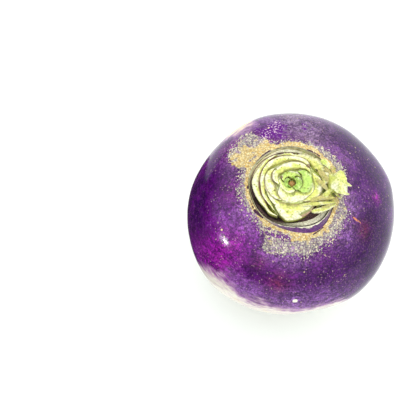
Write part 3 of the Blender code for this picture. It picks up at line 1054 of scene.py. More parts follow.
# %% Cream below the purple
uneven = (bench.noise(9, 3) - 0.5) * 16.0
fine = (skin_streaks(1.8, 5.0) - 0.5) * 20.0
edge = bench.field("purple") + uneven + fine
cream = bench.coats(
    CREAM,
    (mottle.ease(0.5, 0.8, 0.0, 0.7), CREAM_TAN),
    (towards_back.ease(0.0, 20 * MM, 0.0, 0.75), CREAM_TAN),
    (bench.field("height").ease(15.0, 1.0, 0.0, 0.5), SOIL),
    (streaky.ease(0.45, 0.65) * edge.ease(-22.0, -2.0, 0.0, 0.5), PINK_EDGE),
    (edge.ease(-4.0, 4.0), PINK_EDGE),
)
colour = bench.blend(edge.ease(-2.5, 8.0), cream, colour)
bench.tell("cream")

# %% Cork over the skin, in crackled flakes, and the scars in it
FLAKE_SIZE = 1.25
# How the flakes' edges bend: scale of the noise and reach in mm
FLAKE_WOBBLE = (700.0, 0.7)
bent = bench.jostle(bench.place, *FLAKE_WOBBLE)
missing, paleness, _ = bench.cells(FLAKE_SIZE, bent)[1].parts("Color")
edge_away = bench.cells(FLAKE_SIZE, bent, "DISTANCE_TO_EDGE")[0]
cork_edge = cork_depth + (bench.noise(3.5, 3) - 0.5) * 4.0 - missing.ease(0.0, 1.0, -0.5, 1.5)
cork_mask = cork_edge.ease(-0.3, 0.5)
tan_mask = (bench.field("tan") + (bench.noise(2.6, 3) - 0.5) * 2.8).ease(0.3, 0.7)
crack = edge_away.ease(0.03, 0.2, 1.0, 0.0) * tan_mask.ease(0.0, 1.0, 0.7, 0.28)
grey_cork = bench.blend(paleness.ease(0.15, 0.85), CORK_GREY, CORK_WHITE)
tan_cork = bench.blend(bench.noise(1.0, 3).ease(0.38, 0.6), CORK_TAN, CORK_LIGHT)
cork_colour = bench.blend(tan_mask, grey_cork, tan_cork).times(dust.ease(0.35, 0.65, 0.7, 1.1))
crack_colour = bench.blend(tan_mask, colour.times(1.1), CORK_DARK)
scar_edge = bench.field("scar") + grain * 0.9
colour = bench.coats(
    colour,
    (cork_mask, bench.blend(crack, cork_colour, crack_colour)),
    (scar_edge.ease(0.28, 0.5), CORK_DARK),
)
bench.tell("cork")

# %% [markdown]
# ## The dish inside the lip
#
# The terraces are pale scars with brown streaks round them, and each ends in a dark line
# at its foot and its rim. Where the rosette stands close, at the lower left, the dish lies
# in deep shade. A band of purple skin runs over the outer terrace in front.

# %% Scars, shade and the purple band
# Streaks in the dish: how far the noise runs on from step to step, and its scale
DISH_STRETCH = 1.6
DISH_STREAKS = 3.0
in_dish = terrace.ease(3.0, 3.02, 1.0, 0.0)
round_place = bench.combine(bench.turn_about(CROWN_CENTRE), terrace * DISH_STRETCH, 0.0)
streaks = bench.noise(detail=4.0, roughness=0.6, place=round_place, scale=DISH_STREAKS)
wide = bench.field("ledge").ease(0.7, 2.2)
from_middle = abs(bench.reckon("FRACT", terrace) - 0.5)
by_step = from_middle.ease(0.36, 0.46, 0.0, 0.95) * wide.ease(0.0, 1.0, 0.22, 1.0)
by_step = by_step * bench.reckon("MAXIMUM", terrace.ease(2.5, 2.7, 1.0, 0.45), moat)
shaded = moat * (terrace + (streaks - 0.5) * 1.5).ease(2.3, 1.8, 0.0, 0.94)
floor_tone = bench.coats(
    SCAR_SHADE,
    (moat * terrace.ease(0.975, 0.93), SCAR_DARK),
    (streaks.ease(0.5, 0.62, 0.0, 0.7), SCAR_DARK),
)
band_edge = terrace + (bench.noise(2.6, 3) - 0.5) * 0.9
on_band = bench.field("band") * band_edge.ease(2.26, 2.34)
band_tone = bench.blend(grain.ease(0.45, 0.62), BAND_PURPLE, PURPLE_VIOLET)
dish_tone = bench.coats(
    SCAR_TAN,
    (wide, SCAR_GREY),
    (bench.noise(0.8, 3).ease(0.4, 0.55, 0.3, 0.0), SOIL),
    (streaks.ease(0.53, 0.62, 0.0, 0.55), SCAR_DARK),
    (by_step, SCAR_DARK),
    (shaded, SCAR_DARK),
    (terrace.ease(1.0, 1.06, 1.0, 0.0), floor_tone),
    (on_band * 0.92, band_tone),
)
bench.tell("dish")

# %% Colour, gloss and fine relief of the root, and its piece
DRY_ROUGHNESS = 0.8
skin_rough = mottle.ease(0.3, 0.7, 0.1, 0.16)
dry = bench.reckon("MAXIMUM", cork_mask, in_dish)
skin_bump = bench.bump(grain * 0.7 + dust * 0.3, 0.035)
bench.dress(
    {
        "Base Color": bench.blend(in_dish, colour, dish_tone),
        "Roughness": skin_rough + dry * (DRY_ROUGHNESS - skin_rough),
        "Specular IOR Level": 0.26,
        "Normal": bench.bump(cork_mask - crack * cork_mask, 0.3, skin_bump),
    }
)
bench.tell("root finish")

root_skin = make_piece("root_skin", [lay_shell(root_rings, ROOT_POLES, **root_fields)])
run_growth(root_skin, skin_relief, {"Material": root_finish})

# %% [markdown]
# ## The cut end of the taproot
#
# The root stands on the flat cut of its taproot. The cut shows pale flesh, a darker ring
# where the bark grows and fine rays from the middle, and its rim has dried to brown. It
# is a thin disc that closes the skin from below.

# %% A disc with rays and rings
FLESH_TURNS = 120
FLESH_RINGS = 14
FLESH_THICKNESS = 0.5 * MM
FLESH_GAP = 0.25 * MM
BARK_RING = 0.78
RAY_SCALE = 9.0
FLESH_CREAM = (240, 226, 176)
FLESH_YELLOW = (226, 200, 124)
FLESH_BROWN = (134, 102, 66)

turns = all_round(FLESH_TURNS)
flesh_edge = CUT_RADIUS + NECK_WAVE * np.cos(NECK_WAVES * turns) - FLESH_GAP
flesh_shares = [*up_to(0, 1, FLESH_RINGS), 1.0, 0.5]
flesh_heights = [0.0] * FLESH_RINGS + [FLESH_THICKNESS] * 2
flesh_rings = [
    outward(turns, flesh_edge * share, height)
    for share, height in zip(flesh_shares, flesh_heights)
]
flesh_poles = np.zeros(3), np.array([0, 0, FLESH_THICKNESS])
flesh_shell = lay_shell(flesh_rings, flesh_poles, outwards=np.array(flesh_shares)[:, None])

flesh_finish, bench = new_finish("root flesh")
rays = bench.noise(place=bench.place.vector("NORMALIZE"), scale=RAY_SCALE)
cloud = bench.noise(1.5, 3)
ringed = bench.field("outwards") + cloud * 0.06
tone = bench.coats(
    FLESH_CREAM,
    (rays.ease(0.45, 0.6, 0.0, 0.6), FLESH_YELLOW),
    (abs(ringed - BARK_RING).ease(0.02, 0.05, 0.7, 0.0), FLESH_BROWN),
    (ringed.ease(0.93, 1.0, 0.0, 0.9), FLESH_BROWN),
    (cloud.ease(0.55, 0.75, 0.0, 0.5), SOIL),
)
bench.dress({"Base Color": tone, "Roughness": 0.7, "Normal": bench.bump(rays + cloud, 0.15)})
taproot_cut = make_piece("taproot_cut", [flesh_shell], flesh_finish)
print("taproot cut", count_triangles(taproot_cut), "triangles")

# %% [markdown]
# ## Hairs and chips: shapes strewn over a surface
#
# Three things repeat and follow a surface. Two rows of fine roots, snapped short when the
# root was pulled, run down the lower body. The torn leaf bases at the right bristle with
# short fibres. At the outer edge of the cork the bark breaks into hundreds of pale chips,
# a third of a millimetre to a millimetre across, with purple skin between. Geometry Nodes
# make all of them in the same way: points are scattered where a field is high, and each
# gets a small shape, turned at random. Only the shape differs: a bent, tapering hair or
# a flat angular chip.

# %% Strewing a shape by a field
def strew(bench, field, shape, turn_range, size_range, size_seed):
    """Sets a shape on points that lie dense where a field is high, and ends the tree."""
    entry = bench.entry
    density = bench.field(field) * entry["Density"] / (MM * MM)
    scattering = {"Mesh": entry["Geometry"], "Density": density, "Seed": entry["Seed"]}
    points = bench.add("GeometryNodeDistributePointsOnFaces", scattering).outputs
    turn_draw = {0: turn_range[0], 1: turn_range[1], "Seed": entry["Seed"]}
    turn = bench.make("FunctionNodeRandomValue", turn_draw, data_type="FLOAT_VECTOR")
    turn = bench.make("FunctionNodeEulerToRotation", {0: turn})
    turning = {0: Signal(bench, points["Rotation"]), 1: turn}
    turned = bench.make("FunctionNodeRotateRotation", turning, rotation_space="LOCAL")
    size_draw = {2: size_range[0], 3: size_range[1], "Seed": size_seed}
    size = bench.make("FunctionNodeRandomValue", size_draw, 1, data_type="FLOAT")
    setting = {"Points": Signal(bench, points[0]), "Instance": shape}
    setting.update({"Rotation": turned, "Scale": size})
    return close_growth(bench, bench.make("GeometryNodeInstanceOnPoints", setting))


# %% A tree that sets bent hairs
HAIR_SIDES = 5
HAIR_STEPS = 6
HAIR_SINK = 0.2 * MM
HAIR_BEND = 0.6
HAIR_TAPER = 0.7
HAIR_SCALES = (0.35, 1.0)
bench, entry = new_growth(
    "bent hairs",
    {"Density": 1.0, "Length": 2.0 * MM, "Thickness": 0.14 * MM, "Lean": 0.6, "Seed": 3},
)
half_way = entry["Length"] * HAIR_BEND
path = {"Resolution": HAIR_STEPS, "Start": (0.0, 0.0, -HAIR_SINK)}
path["Middle"] = bench.combine(0.0, 0.0, half_way)
path["End"] = bench.combine(half_way, 0.0, entry["Length"])
along_hair = bench.make("GeometryNodeSplineParameter", None, "Factor")
circle = {"Resolution": HAIR_SIDES, "Radius": 1.0}
tube = {
    "Curve": bench.make("GeometryNodeCurveQuadraticBezier", path),
    "Profile Curve": bench.make("GeometryNodeCurvePrimitiveCircle", circle),
    "Scale": (1.0 - along_hair * HAIR_TAPER) * entry["Thickness"],
    "Fill Caps": True,
}
less, more = entry["Lean"] * -1.0, entry["Lean"]
hair_turns = bench.combine(less, less, 0.0), bench.combine(more, more, math.tau)
hair = bench.make("GeometryNodeCurveToMesh", tube)
hair_tree = strew(bench, "tufts", hair, hair_turns, HAIR_SCALES, size_seed=12)

# %% Fine roots in two rows on the lower body
ROOT_ROWS = (20, 205)
ROW_REACH = 13
ROW_LOW, ROW_HIGH = 6 * MM, 26 * MM
ROOT_HAIRS = {"Density": 0.045, "Length": 2.6 * MM, "Thickness": 0.3 * MM, "Lean": 0.9, "Seed": 8}
ROOTLET_TAN = (196, 160, 112)

hair_finish, bench = new_finish("fine roots")
tone = bench.blend(bench.noise(2).ease(0.4, 0.6), CREAM_TAN, ROOTLET_TAN)
bench.dress({"Base Color": tone, "Roughness": 0.8})
rows = sum(fan(body_direction, row, ROW_REACH) for row in ROOT_ROWS)
tufts = rows * ((root_rings[..., 2] > ROW_LOW) & (root_rings[..., 2] < ROW_HIGH))
fine_roots = make_piece("fine_roots", [lay_shell(root_rings, ROOT_POLES, tufts=tufts)])
run_growth(fine_roots, hair_tree, {**ROOT_HAIRS, "Material": hair_finish})

# %% A tree that sets chips
CHIP_TURNS = (-0.5, -0.5, 0.0), (0.5, 0.5, math.tau)
CHIP_WIDTH = 0.75
CHIP_SCALES = (0.55, 1.5)
chip_sizes = {"Density": 1.35, "Chip size": 0.32 * MM, "Chip thickness": 0.4, "Seed": 4}
bench, entry = new_growth("corky flakes", chip_sizes)
ball = {"Radius": entry["Chip size"], "Subdivisions": 1}
flattening = {"Geometry": bench.make("GeometryNodeMeshIcoSphere", ball)}
flattening["Scale"] = bench.combine(1.0, CHIP_WIDTH, entry["Chip thickness"])
chip = bench.make("GeometryNodeTransform", flattening)
flake_tree = strew(bench, "flaking", chip, CHIP_TURNS, CHIP_SCALES, size_seed=9)

# %% Chips over the cork's fringe, pale grey to tan
FRINGE_MIDDLE = 0.6 * MM
FRINGE_DEPTH = 1.9 * MM
FRINGE_END = -1.6 * MM
# Chips over the rest of the cork: direction and reach in degrees, and how dense
FRONT_CHIPS, FRONT_SHARE = (285, 50), 0.5
TONGUE_CHIPS, TONGUE_SHARE = (135, 28), 0.4
BARE_TAN = 0.75
LIP_MARGIN = 0.5 * MM

flake_finish, bench = new_finish("corky flakes")
paleness, yellowness, _ = bench.cells(1.1)[1].parts("Color")
grain = bench.noise(0.4)
tone = bench.coats(
    CORK_GREY,
    (paleness.ease(0.2, 0.8), CORK_WHITE),
    (yellowness.ease(0.6, 0.9, 0.0, 0.7), CORK_LIGHT),
).times(grain.ease(0.3, 0.7, 0.8, 1.1))
flake_looks = {"Base Color": tone, "Roughness": 0.6, "Specular IOR Level": 0.4}
bench.dress({**flake_looks, "Normal": bench.bump(grain, 0.05)})

fringe = bell(cork - FRINGE_MIDDLE, FRINGE_DEPTH) * (cork > FRINGE_END)
front = FRONT_SHARE * (fan(direction, *FRONT_CHIPS) * (cork > 0))
tongue = TONGUE_SHARE * (fan(direction, *TONGUE_CHIPS) * (cork > 0))
flaking = np.clip(fringe + front + tongue, 0, 1) * (1 - BARE_TAN * tan)
flaking = np.where(radius > lip + LIP_MARGIN, flaking, 0)
corky_flakes = make_piece("corky_flakes", [lay_shell(root_rings, ROOT_POLES, flaking=flaking)])
run_growth(corky_flakes, flake_tree, {"Material": flake_finish})

# %% [markdown]
# ## The rosette of cut leaf bases
#
# Fourteen leaf bases wrap round each other like a rose. The knife left their ends at
# one height. Each is laid outside the ones already there: thick at its rib, thin at its
# two edges. The formulas are again those of the CAD part. The fine pieces add what a
# blade of a leaf stalk shows: rounded rims, a slightly sunken cut, and torn edges on
# the two old ones at the right.

# %% Sizes of the leaf bases
TOUCH_GAP = 0.3 * MM
BUD_CENTRE = CROWN_CENTRE + np.array([0.4, 0.9, 0]) * MM
BUD_RADIUS = 1.8 * MM
BUD_DEPTH = 2.4 * MM
CUT_HEIGHT = 77.6 * MM
FOOT_SHARE = 0.93
SLOT = 0.3 * MM
MARGIN = 0.8 * MM
TAPER_POWER = 4
CUT_SLOPE = 0.06
ENVELOPE_TURNS = 240
EASE_TURNS = 5

# From the bud outwards: directions of the two edges in degrees, radius of the outer side
# in mm at even places from edge to edge, height of the cut in mm, and age from 0 to 1
LEAF_BASES = (
    (115, 255, (3.2, 3.5, 3.6, 3.5, 3.2), -2.0, 0.0),
    (-80, 62, (4.3, 4.7, 4.9, 4.7, 4.3), -1.6, 0.0),
    (38, 172, (5.4, 5.7, 5.8, 5.7, 5.5), -1.0, 0.1),
    (150, 288, (5.8, 5.8, 5.8, 5.9, 6.0), -0.9, 0.15),
    (-58, 60, (9.3, 9.4, 9.4, 8.9, 7.6), -0.4, 0.0),
    (203, 346, (9.0, 10.4, 11.1, 10.1, 9.3), -0.2, 0.3),
    (26, 196, (10.6, 10.4, 9.8, 10.0, 8.8), 0.0, 0.3),
    (138, 242, (11.4, 12.5, 12.6, 12.3, 11.6), 0.1, 0.45),
    (-66, 26, (12.4, 13.8, 13.8, 13.6, 12.6), 0.0, 0.4),
    (205, 316, (13.2, 13.9, 18.9, 17.3, 16.6), 0.3, 0.5),
    (36, 240, (13.2, 12.2, 14.3, 14.6, 16.4), 0.2, 0.55),
    (-14, 112, (17.2, 17.7, 15.8, 13.3, 13.6), 0.0, 0.8),
    (-48, -2, (16.8, 17.9, 18.4, 18.3, 17.8), -0.9, 1.0),
    (116, 246, (14.4, 15.4, 18.0, 17.6, 17.3), -0.2, 0.7),
)
# How strongly the outer and the inner rim of a leaf base have turned brown
STAINED = {4: 0.3, 5: 0.7, 6: 0.8, 7: 0.8, 8: 0.7, 9: 0.2, 10: 1.0, 11: 0.5}
STAINED_INSIDE = {13: 1.0, 10: 0.6, 9: 0.6, 7: 0.6, 6: 0.5, 5: 0.5}
# The stain of the others, and where each rim's stain starts and over what share it fades
STAIN, STAIN_INSIDE = 0.12, 0.3
OUTER_STAIN = (0.76, 0.16)
INNER_STAIN = (0.04, 0.12)
# How high the tears of the torn ones stand in mm, and their waves
TORN = {11: 0.6, 12: 1.6}
TEAR_WAVES = (11, 23, 47, 71)
TEAR_WAVES_OUTSIDE = (19, 37, 61)
TEAR_OUTSIDE = 0.8
TEAR_LOSS = 0.3
TEAR_SEED_OUTSIDE = 50
TILT_SEED = 7
TILT = 0.045
TILT_LIMITS = (-0.35 * MM, 0.3 * MM)
SPREAD_IN = 0.3 * MM
SPREAD_OUT = 0.28 * MM
COLUMN_DEGREES = 1.5
FACE_POINTS = 11
WALL_LEVELS = (0.0, 0.35, 0.65, 0.85, 0.95)
RIM_DROP = 0.3 * MM
RIM_POWER = 8
SUNKEN = 0.12 * MM
END_THICKNESS = 0.12
END_REACH = 20
# The fields of a shell of the rosette, where nothing else is said
LEAF_FIELDS = {"wall": 0.0, "share": 0.5, "depth": 0.0, "age": 0.0, "stain": 0.0}


# %% The curves that the leaf bases lie along
def eased(envelope):
    """The envelope with its notches filled and its corners rounded."""
    turns = range(-EASE_TURNS, EASE_TURNS + 1)
    filled = np.max([np.roll(envelope, turn) for turn in turns], axis=0)
    return np.mean([np.roll(filled, turn) for turn in turns], axis=0)


def leaf_curves():
    """Inner and outer radius of each leaf base all round, and the last envelope."""
    turns = np.arange(ENVELOPE_TURNS) * 360 / ENVELOPE_TURNS
    envelope = np.full(ENVELOPE_TURNS, BUD_RADIUS)
    curves = []
    for first, last, radii, *_ in LEAF_BASES:
        half = (last - first) / 2
        across = ((turns - first - half + 180) % 360 - 180) / half
        bend = np.minimum(np.abs(across), 1)
        plain = np.interp(across, np.linspace(-1, 1, len(radii)), radii) * MM
        inner = eased(envelope) + SLOT
        spare = np.maximum(plain - inner - MARGIN, 0)
        outer = inner + MARGIN + spare * (1 - bend**TAPER_POWER)
        curves.append((inner, outer))
        envelope = np.where(np.abs(across) <= 1, outer, envelope)
    return curves, envelope


def radius_at(curve, degrees):
    """The radius that a curve of the rosette has in each direction."""
    place = np.asarray(degrees) / 360 * ENVELOPE_TURNS
    return np.interp(place, np.arange(ENVELOPE_TURNS), curve, period=ENVELOPE_TURNS)


curves, envelope = leaf_curves()
print("the rosette reaches", round(envelope.max() / MM, 1), "mm from its middle")


# %% One leaf base as a closed shell
def leaf_section():
    """The outline of a section: share of the thickness, of the height, and a wall flag."""
    rise = [(0.0, level, 1.0) for level in WALL_LEVELS]
    face = [(share, 1.0, 0.0) for share in np.linspace(0, 1, FACE_POINTS)]
    fall = [(1.0, level, 1.0) for level in reversed(WALL_LEVELS)]
    return np.array(rise + face + fall).T


def stain_field(index, share):
    """How brown a leaf base is by the share of its thickness, at both rims."""
    inside = STAINED_INSIDE.get(index, STAIN_INSIDE)
    start, fade = OUTER_STAIN
    outer = STAINED.get(index, STAIN) * smooth_step((share - start) / fade)
    start, fade = INNER_STAIN
    inner = inside * (1 - smooth_step((share / (1 + 1.5 * inside) - start) / fade))
    return np.maximum(outer, inner)


def leaf_base(index):
    """A leaf base from its curves, with its fields for the finish."""
    first, last, _, above, age = LEAF_BASES[index]
    inner, outer = curves[index]
    degrees = np.linspace(first, last, round((last - first) / COLUMN_DEGREES) + 1)
    along = np.linspace(-1, 1, len(degrees))
    share, level, wall = leaf_section()
    near = radius_at(inner, degrees) - SPREAD_IN
    far = radius_at(outer, degrees) + SPREAD_OUT
    from_end = (1 - np.abs(along)) * (last - first) / 2
    to_end = np.clip(1 - from_end / END_REACH, 0, 1)
    thickness = (far - near) * (1 - (1 - END_THICKNESS) * to_end**2)
    radii = near[:, None] + thickness[:, None] * share[None, :]
    bulge = np.abs(share * 2 - 1)[None, :]
    slope = CUT_SLOPE * (radii - near[:, None])
    cut = CUT_HEIGHT + above * MM - slope - RIM_DROP * bulge**RIM_POWER
    cut = cut - SUNKEN * (1 - bulge**2)
    turns = np.radians(degrees)
    columns = turns[:, None] + 0 * radii
    lean_x, lean_y = np.random.default_rng(index + TILT_SEED).normal(0, TILT, 2)
    middle = math.radians((first + last) / 2)
    rib = radii[len(degrees) // 2].mean()
    from_rib = outward(columns, radii) - outward(np.array(middle), rib)
    cut = cut + np.clip(from_rib[..., 0] * lean_x + from_rib[..., 1] * lean_y, *TILT_LIMITS)
    torn = TORN.get(index, 0) * MM
    tear = ripple(turns, TEAR_WAVES, torn, index)[:, None]
    seed = index + TEAR_SEED_OUTSIDE
    outside = ripple(turns, TEAR_WAVES_OUTSIDE, torn * TEAR_OUTSIDE, seed)
    tear = tear + outside[:, None] * share
    cut = cut + tear - np.abs(tear) * TEAR_LOSS
    foot = FLOOR_HEIGHT + TOUCH_GAP
    height = foot + (cut - foot) * level
    radii = radii * (FOOT_SHARE + (1 - FOOT_SHARE) * level)
    points = BUD_CENTRE + outward(columns, radii, height)
    # The depth field darkens the walls towards their feet in the finish: painted shade
    fields = {"wall": wall, "share": share, "depth": 1 - level, "age": age}
    return lay_shell(points, stain=stain_field(index, share), **fields)


shells = [leaf_base(index) for index in range(len(LEAF_BASES))]
print("leaf bases", len(shells), "points", sum(len(shell[0]) for shell in shells))

# %% [markdown]
# ## The heart, the core, the stub and the shreds
#
# In the heart a few leaflets stand round a bud whose tip has dried to brown. A core
# joins all leaf bases near their feet. One stalk was snapped instead of cut: its stub
# swells and bends out over the lip at the right, with a rough slanting end. Beside it
# the old leaf bases have torn to strips and small bits, which lie across each other.

# %% Sizes of the heart, the core, the stub and the shreds
CORE_TURNS = 120
CORE_INSET = 1.2 * MM
TISSUE_HEIGHT = 77.0 * MM
HEART_DIP = 2.9
# The core's rings: drop below the tissue's height in mm, and share of its radius
CORE_RINGS = (
    (HEART_DIP, 0.1),
    (HEART_DIP, 0.2),
    (HEART_DIP * 0.55, 0.3),
    (HEART_DIP * 0.34, 0.42),
    (HEART_DIP * 0.2, 0.54),
    (0, 0.66),
    (0, 0.76),
    (1.6, 0.88),
    (3, 1.0),
)
STUB_DIRECTION = math.radians(-2)
# The stub's reach, height, half width and half depth in mm, at its start, on its leading
# point and at its end
STUB_PATH = np.array([(14.0, 72.5, 2.2, 1.4), (17.8, 77.6, 8.0, 2.6), (23.0, 79.0, 6.6, 2.6)]) * MM
STUB_CUT_SLANT = 0.7
STUB_SQUARENESS = 3.0
PATH_STEP = 0.01
STUB_RINGS = 26
STUB_TURNS = 56
STUB_END_SIZES = (0.97, 0.85, 0.7, 0.5, 0.3, 0.12)
STUB_WAVES = (2, 3, 5, 8, 13)
STUB_ROUGH = 0.25 / 3
STUB_ROUGH_SEED = 70
STUB_SLIM = 0.45
STUB_END_START = 0.97
# Where along its path the neck ends, and where the wall colour ends, which near the core
# is darkened as painted shadow, and over what share
STUB_NECK_END = (0.3, 0.3)
STUB_SHADED_WALL_END = (0.35, 0.25)
STUB_SEED = 5
WHITTLE_CUTS = 22
WHITTLE_SHARE = (0.68, 0.92)

# Torn strips at the right: start, leading point and end in mm, half width and half
# thickness in mm, and age
SHREDS = (
    ((11.6, 11.6, 77.2), (14.2, 10.6, 78.4), (15.2, 7.4, 77.9), 1.5, 0.35, 0.2),
    ((13.9, -2.6, 76.0), (14.8, -0.6, 77.6), (17.2, 2.0, 77.6), 0.6, 0.3, 0.5),
    ((1.0, -10.4, 77.4), (9.0, -9.6, 78.3), (17.8, -8.3, 76.0), 1.0, 0.4, 0.7),
    ((6.0, -8.4, 77.7), (11.0, -6.0, 78.5), (17.2, -6.8, 76.4), 1.2, 0.4, 0.9),
    ((12.0, -6.6, 77.2), (13.5, -4.6, 78.6), (15.4, -3.2, 77.8), 1.3, 0.5, 0.4),
    ((16.8, -2.2, 76.4), (18.2, -5.6, 76.0), (20.4, -6.4, 76.6), 0.5, 0.3, 0.6),
    ((10.2, 6.8, 77.6), (13.6, 3.2, 78.4), (16.2, -2.0, 76.6), 1.3, 0.3, 0.95),
    ((9.2, 2.0, 77.7), (12.6, -0.6, 78.4), (15.6, -5.2, 76.8), 1.1, 0.3, 0.9),
    ((13.2, 8.4, 77.5), (15.4, 4.6, 77.6), (16.8, 0.6, 76.0), 1.2, 0.3, 1.0),
    ((13.4, -4.8, 77.0), (16.0, -6.4, 77.4), (18.6, -9.6, 75.4), 1.0, 0.35, 1.0),
    ((6.4, -12.8, 76.4), (12.0, -12.4, 76.4), (17.8, -8.8, 75.4), 1.3, 0.5, 0.6),
    ((10.6, -11.2, 76.0), (14.2, -10.6, 76.8), (18.2, -6.8, 75.8), 0.9, 0.4, 0.9),
    ((20.8, 0.4, 79.2), (22.8, -0.8, 79.2), (24.6, -1.4, 78.4), 0.9, 0.4, 0.5),
    ((18.6, -3.2, 78.4), (21.4, -5.2, 78.8), (23.4, -5.2, 78.0), 1.0, 0.5, 0.6),
)
SHRED_RINGS = 34
SHRED_TURNS = 12
SHRED_WAVES = (3, 7, 11, 17)
SHRED_RAGGED = 0.22
SHRED_SEED = 20
SHRED_TAPER = 0.75
# Small torn bits between them, at random in a box: its corners, and how the bits run
BIT_COUNT = 22
BIT_SEED = 4
BIT_LOW, BIT_HIGH = (12.2, -9.0, 76.8), (17.4, 9.0, 77.8)
BIT_RUN_LOW, BIT_RUN_HIGH = (-1.2, -2.6, 0.0), (2.4, 1.2, 0.8)
BIT_DROP = (0, 0, -0.8)
BIT_HALF_WIDTHS = (0.25, 0.7)
BIT_HALF_THICKNESS = 0.2
BIT_AGES = (0.3, 1)

# Leaflets in the heart: direction in degrees, reach of its foot, height and half width
LEAFLETS = (
    (80, 2.3, 2.0, 1.5),
    (160, 2.2, 1.4, 1.2),
    (235, 2.2, 1.9, 1.5),
    (310, 2.4, 2.2, 1.6),
    (15, 2.4, 2.3, 1.6),
)
LEAFLET_RINGS = 14
LEAFLET_TURNS = 14
LEAFLET_FOOT = 2.5 * MM
LEAFLET_THICKNESS = 0.42 * MM
LEAFLET_THINNING = 0.6
LEAFLET_SPREAD = 0.1
LEAFLET_CURL = 0.25
# The blade's outline: where on half a sine it starts, how much it covers, and its power
OUTLINE_START, OUTLINE_SPAN, OUTLINE_POWER = 0.25, 0.72, 0.8

# The bud: its rings, and the waves, height and seed of its folds and its puckered top
BUD_TURNS = 36
BUD_RINGS = 18
BUD_FULLNESS = 0.7
BUD_FOLDS = ((3, 5, 7), 0.12, 3)
BUD_PUCKER = ((4, 7, 9), 0.25 * MM, 5)
BUD_TIP_DROP = 0.3 * MM
print("leaflets", len(LEAFLETS), "torn strips", len(SHREDS))


# %% Shells of the core, the bud and the leaflets
def leaf_shell(rings, poles=None, **fields):
    """A shell of the rosette, with all of a leaf's fields."""
    return lay_shell(rings, poles, **{**LEAF_FIELDS, **fields})


def core_shell():
    """The core of green tissue between the leaf bases, dipping at the heart."""
    turns = all_round(CORE_TURNS)
    radius = (radius_at(envelope, np.degrees(turns)) - CORE_INSET) * FOOT_SHARE
    bottom = FLOOR_HEIGHT + 2 * TOUCH_GAP
    levels = [(TISSUE_HEIGHT - drop * MM, size) for drop, size in CORE_RINGS]
    levels += [(bottom, 1.0), (bottom, 0.5)]
    rings = [BUD_CENTRE + outward(turns, radius * size, level) for level, size in levels]
    poles = [BUD_CENTRE + np.array([0, 0, level]) for level in (levels[0][0], bottom)]
    return leaf_shell(rings, poles, wall=0.45, age=0.2, depth=0.1)


def bud_shell():
    """The bud with its dried tip, as an egg with a puckered top."""
    turns = all_round(BUD_TURNS)
    top, bottom = CUT_HEIGHT - BUD_DEPTH, FLOOR_HEIGHT + 2 * TOUCH_GAP
    rings = []
    for polar in np.linspace(0, math.pi, BUD_RINGS + 2)[1:-1]:
        radius = BUD_RADIUS * math.sin(polar) ** BUD_FULLNESS
        radius = radius * (1 + ripple(turns, *BUD_FOLDS))
        height = bottom + (top - bottom) * (math.cos(polar) + 1) / 2
        pucker = ripple(turns, *BUD_PUCKER) * math.exp(-(polar**2))
        rings.append(BUD_CENTRE + outward(turns, radius, height + pucker))
    poles = [BUD_CENTRE + np.array([0, 0, level]) for level in (top - BUD_TIP_DROP, bottom)]
    return leaf_shell(rings, poles, age=-1.0)


def leaflet_shell(degrees, *sizes):
    """A small pointed blade that stands in the heart and curls over the bud."""
    direction, (reach, height, half_width) = math.radians(degrees), np.array(sizes) * MM
    levels, turns = np.linspace(0, 1, LEAFLET_RINGS), all_round(LEAFLET_TURNS)
    rings = []
    for level in levels:
        outline = math.sin(math.pi * (OUTLINE_START + OUTLINE_SPAN * level))
        side = half_width * outline**OUTLINE_POWER * np.cos(turns)
        thick = LEAFLET_THICKNESS * (1 - LEAFLET_THINNING * level) * np.sin(turns)
        out = thick + reach * (1 + LEAFLET_SPREAD * level) - LEAFLET_CURL * side**2 / half_width
        rise = CUT_HEIGHT - BUD_DEPTH - LEAFLET_FOOT + (height + LEAFLET_FOOT) * level
        rings.append(BUD_CENTRE + outward(direction, out, rise, side))
    return leaf_shell(rings, age=-0.4, depth=(1 - levels)[:, None] * 0.5)


# %% The shell of the stub
def stub_ring(share, turns, size=1.0):
    """Points round the stub, at a share of its path from the core to the cut end."""
    reach, height, half_width, half_depth = curve_point(STUB_PATH, share)
    next_reach, next_height, *_ = curve_point(STUB_PATH, share + PATH_STEP)
    tilt = math.atan2(next_height - height, next_reach - reach)
    across, up = np.cos(turns), np.sin(turns)
    power = STUB_SQUARENESS
    corner = (np.abs(across) ** power + np.abs(up) ** power) ** (1 / power)
    side = size * half_width * across / corner
    up = size * half_depth * up / corner
    out = reach - up * (math.sin(tilt) + STUB_CUT_SLANT * share * share)
    return BUD_CENTRE + outward(STUB_DIRECTION, out, height + up * math.cos(tilt), side)


def whittled(points, seed):
    """A round lump cut flat along a few planes at random, as by a knife."""
    draw = np.random.default_rng(seed)
    centre = points.reshape(-1, 3).mean(axis=0)
    for normal in draw.normal(size=(WHITTLE_CUTS, 3)):
        normal = normal / np.linalg.norm(normal)
        height = (points - centre) @ normal
        limit = height.max() * draw.uniform(*WHITTLE_SHARE)
        points = points - np.maximum(height - limit, 0)[..., None] * normal
    return points


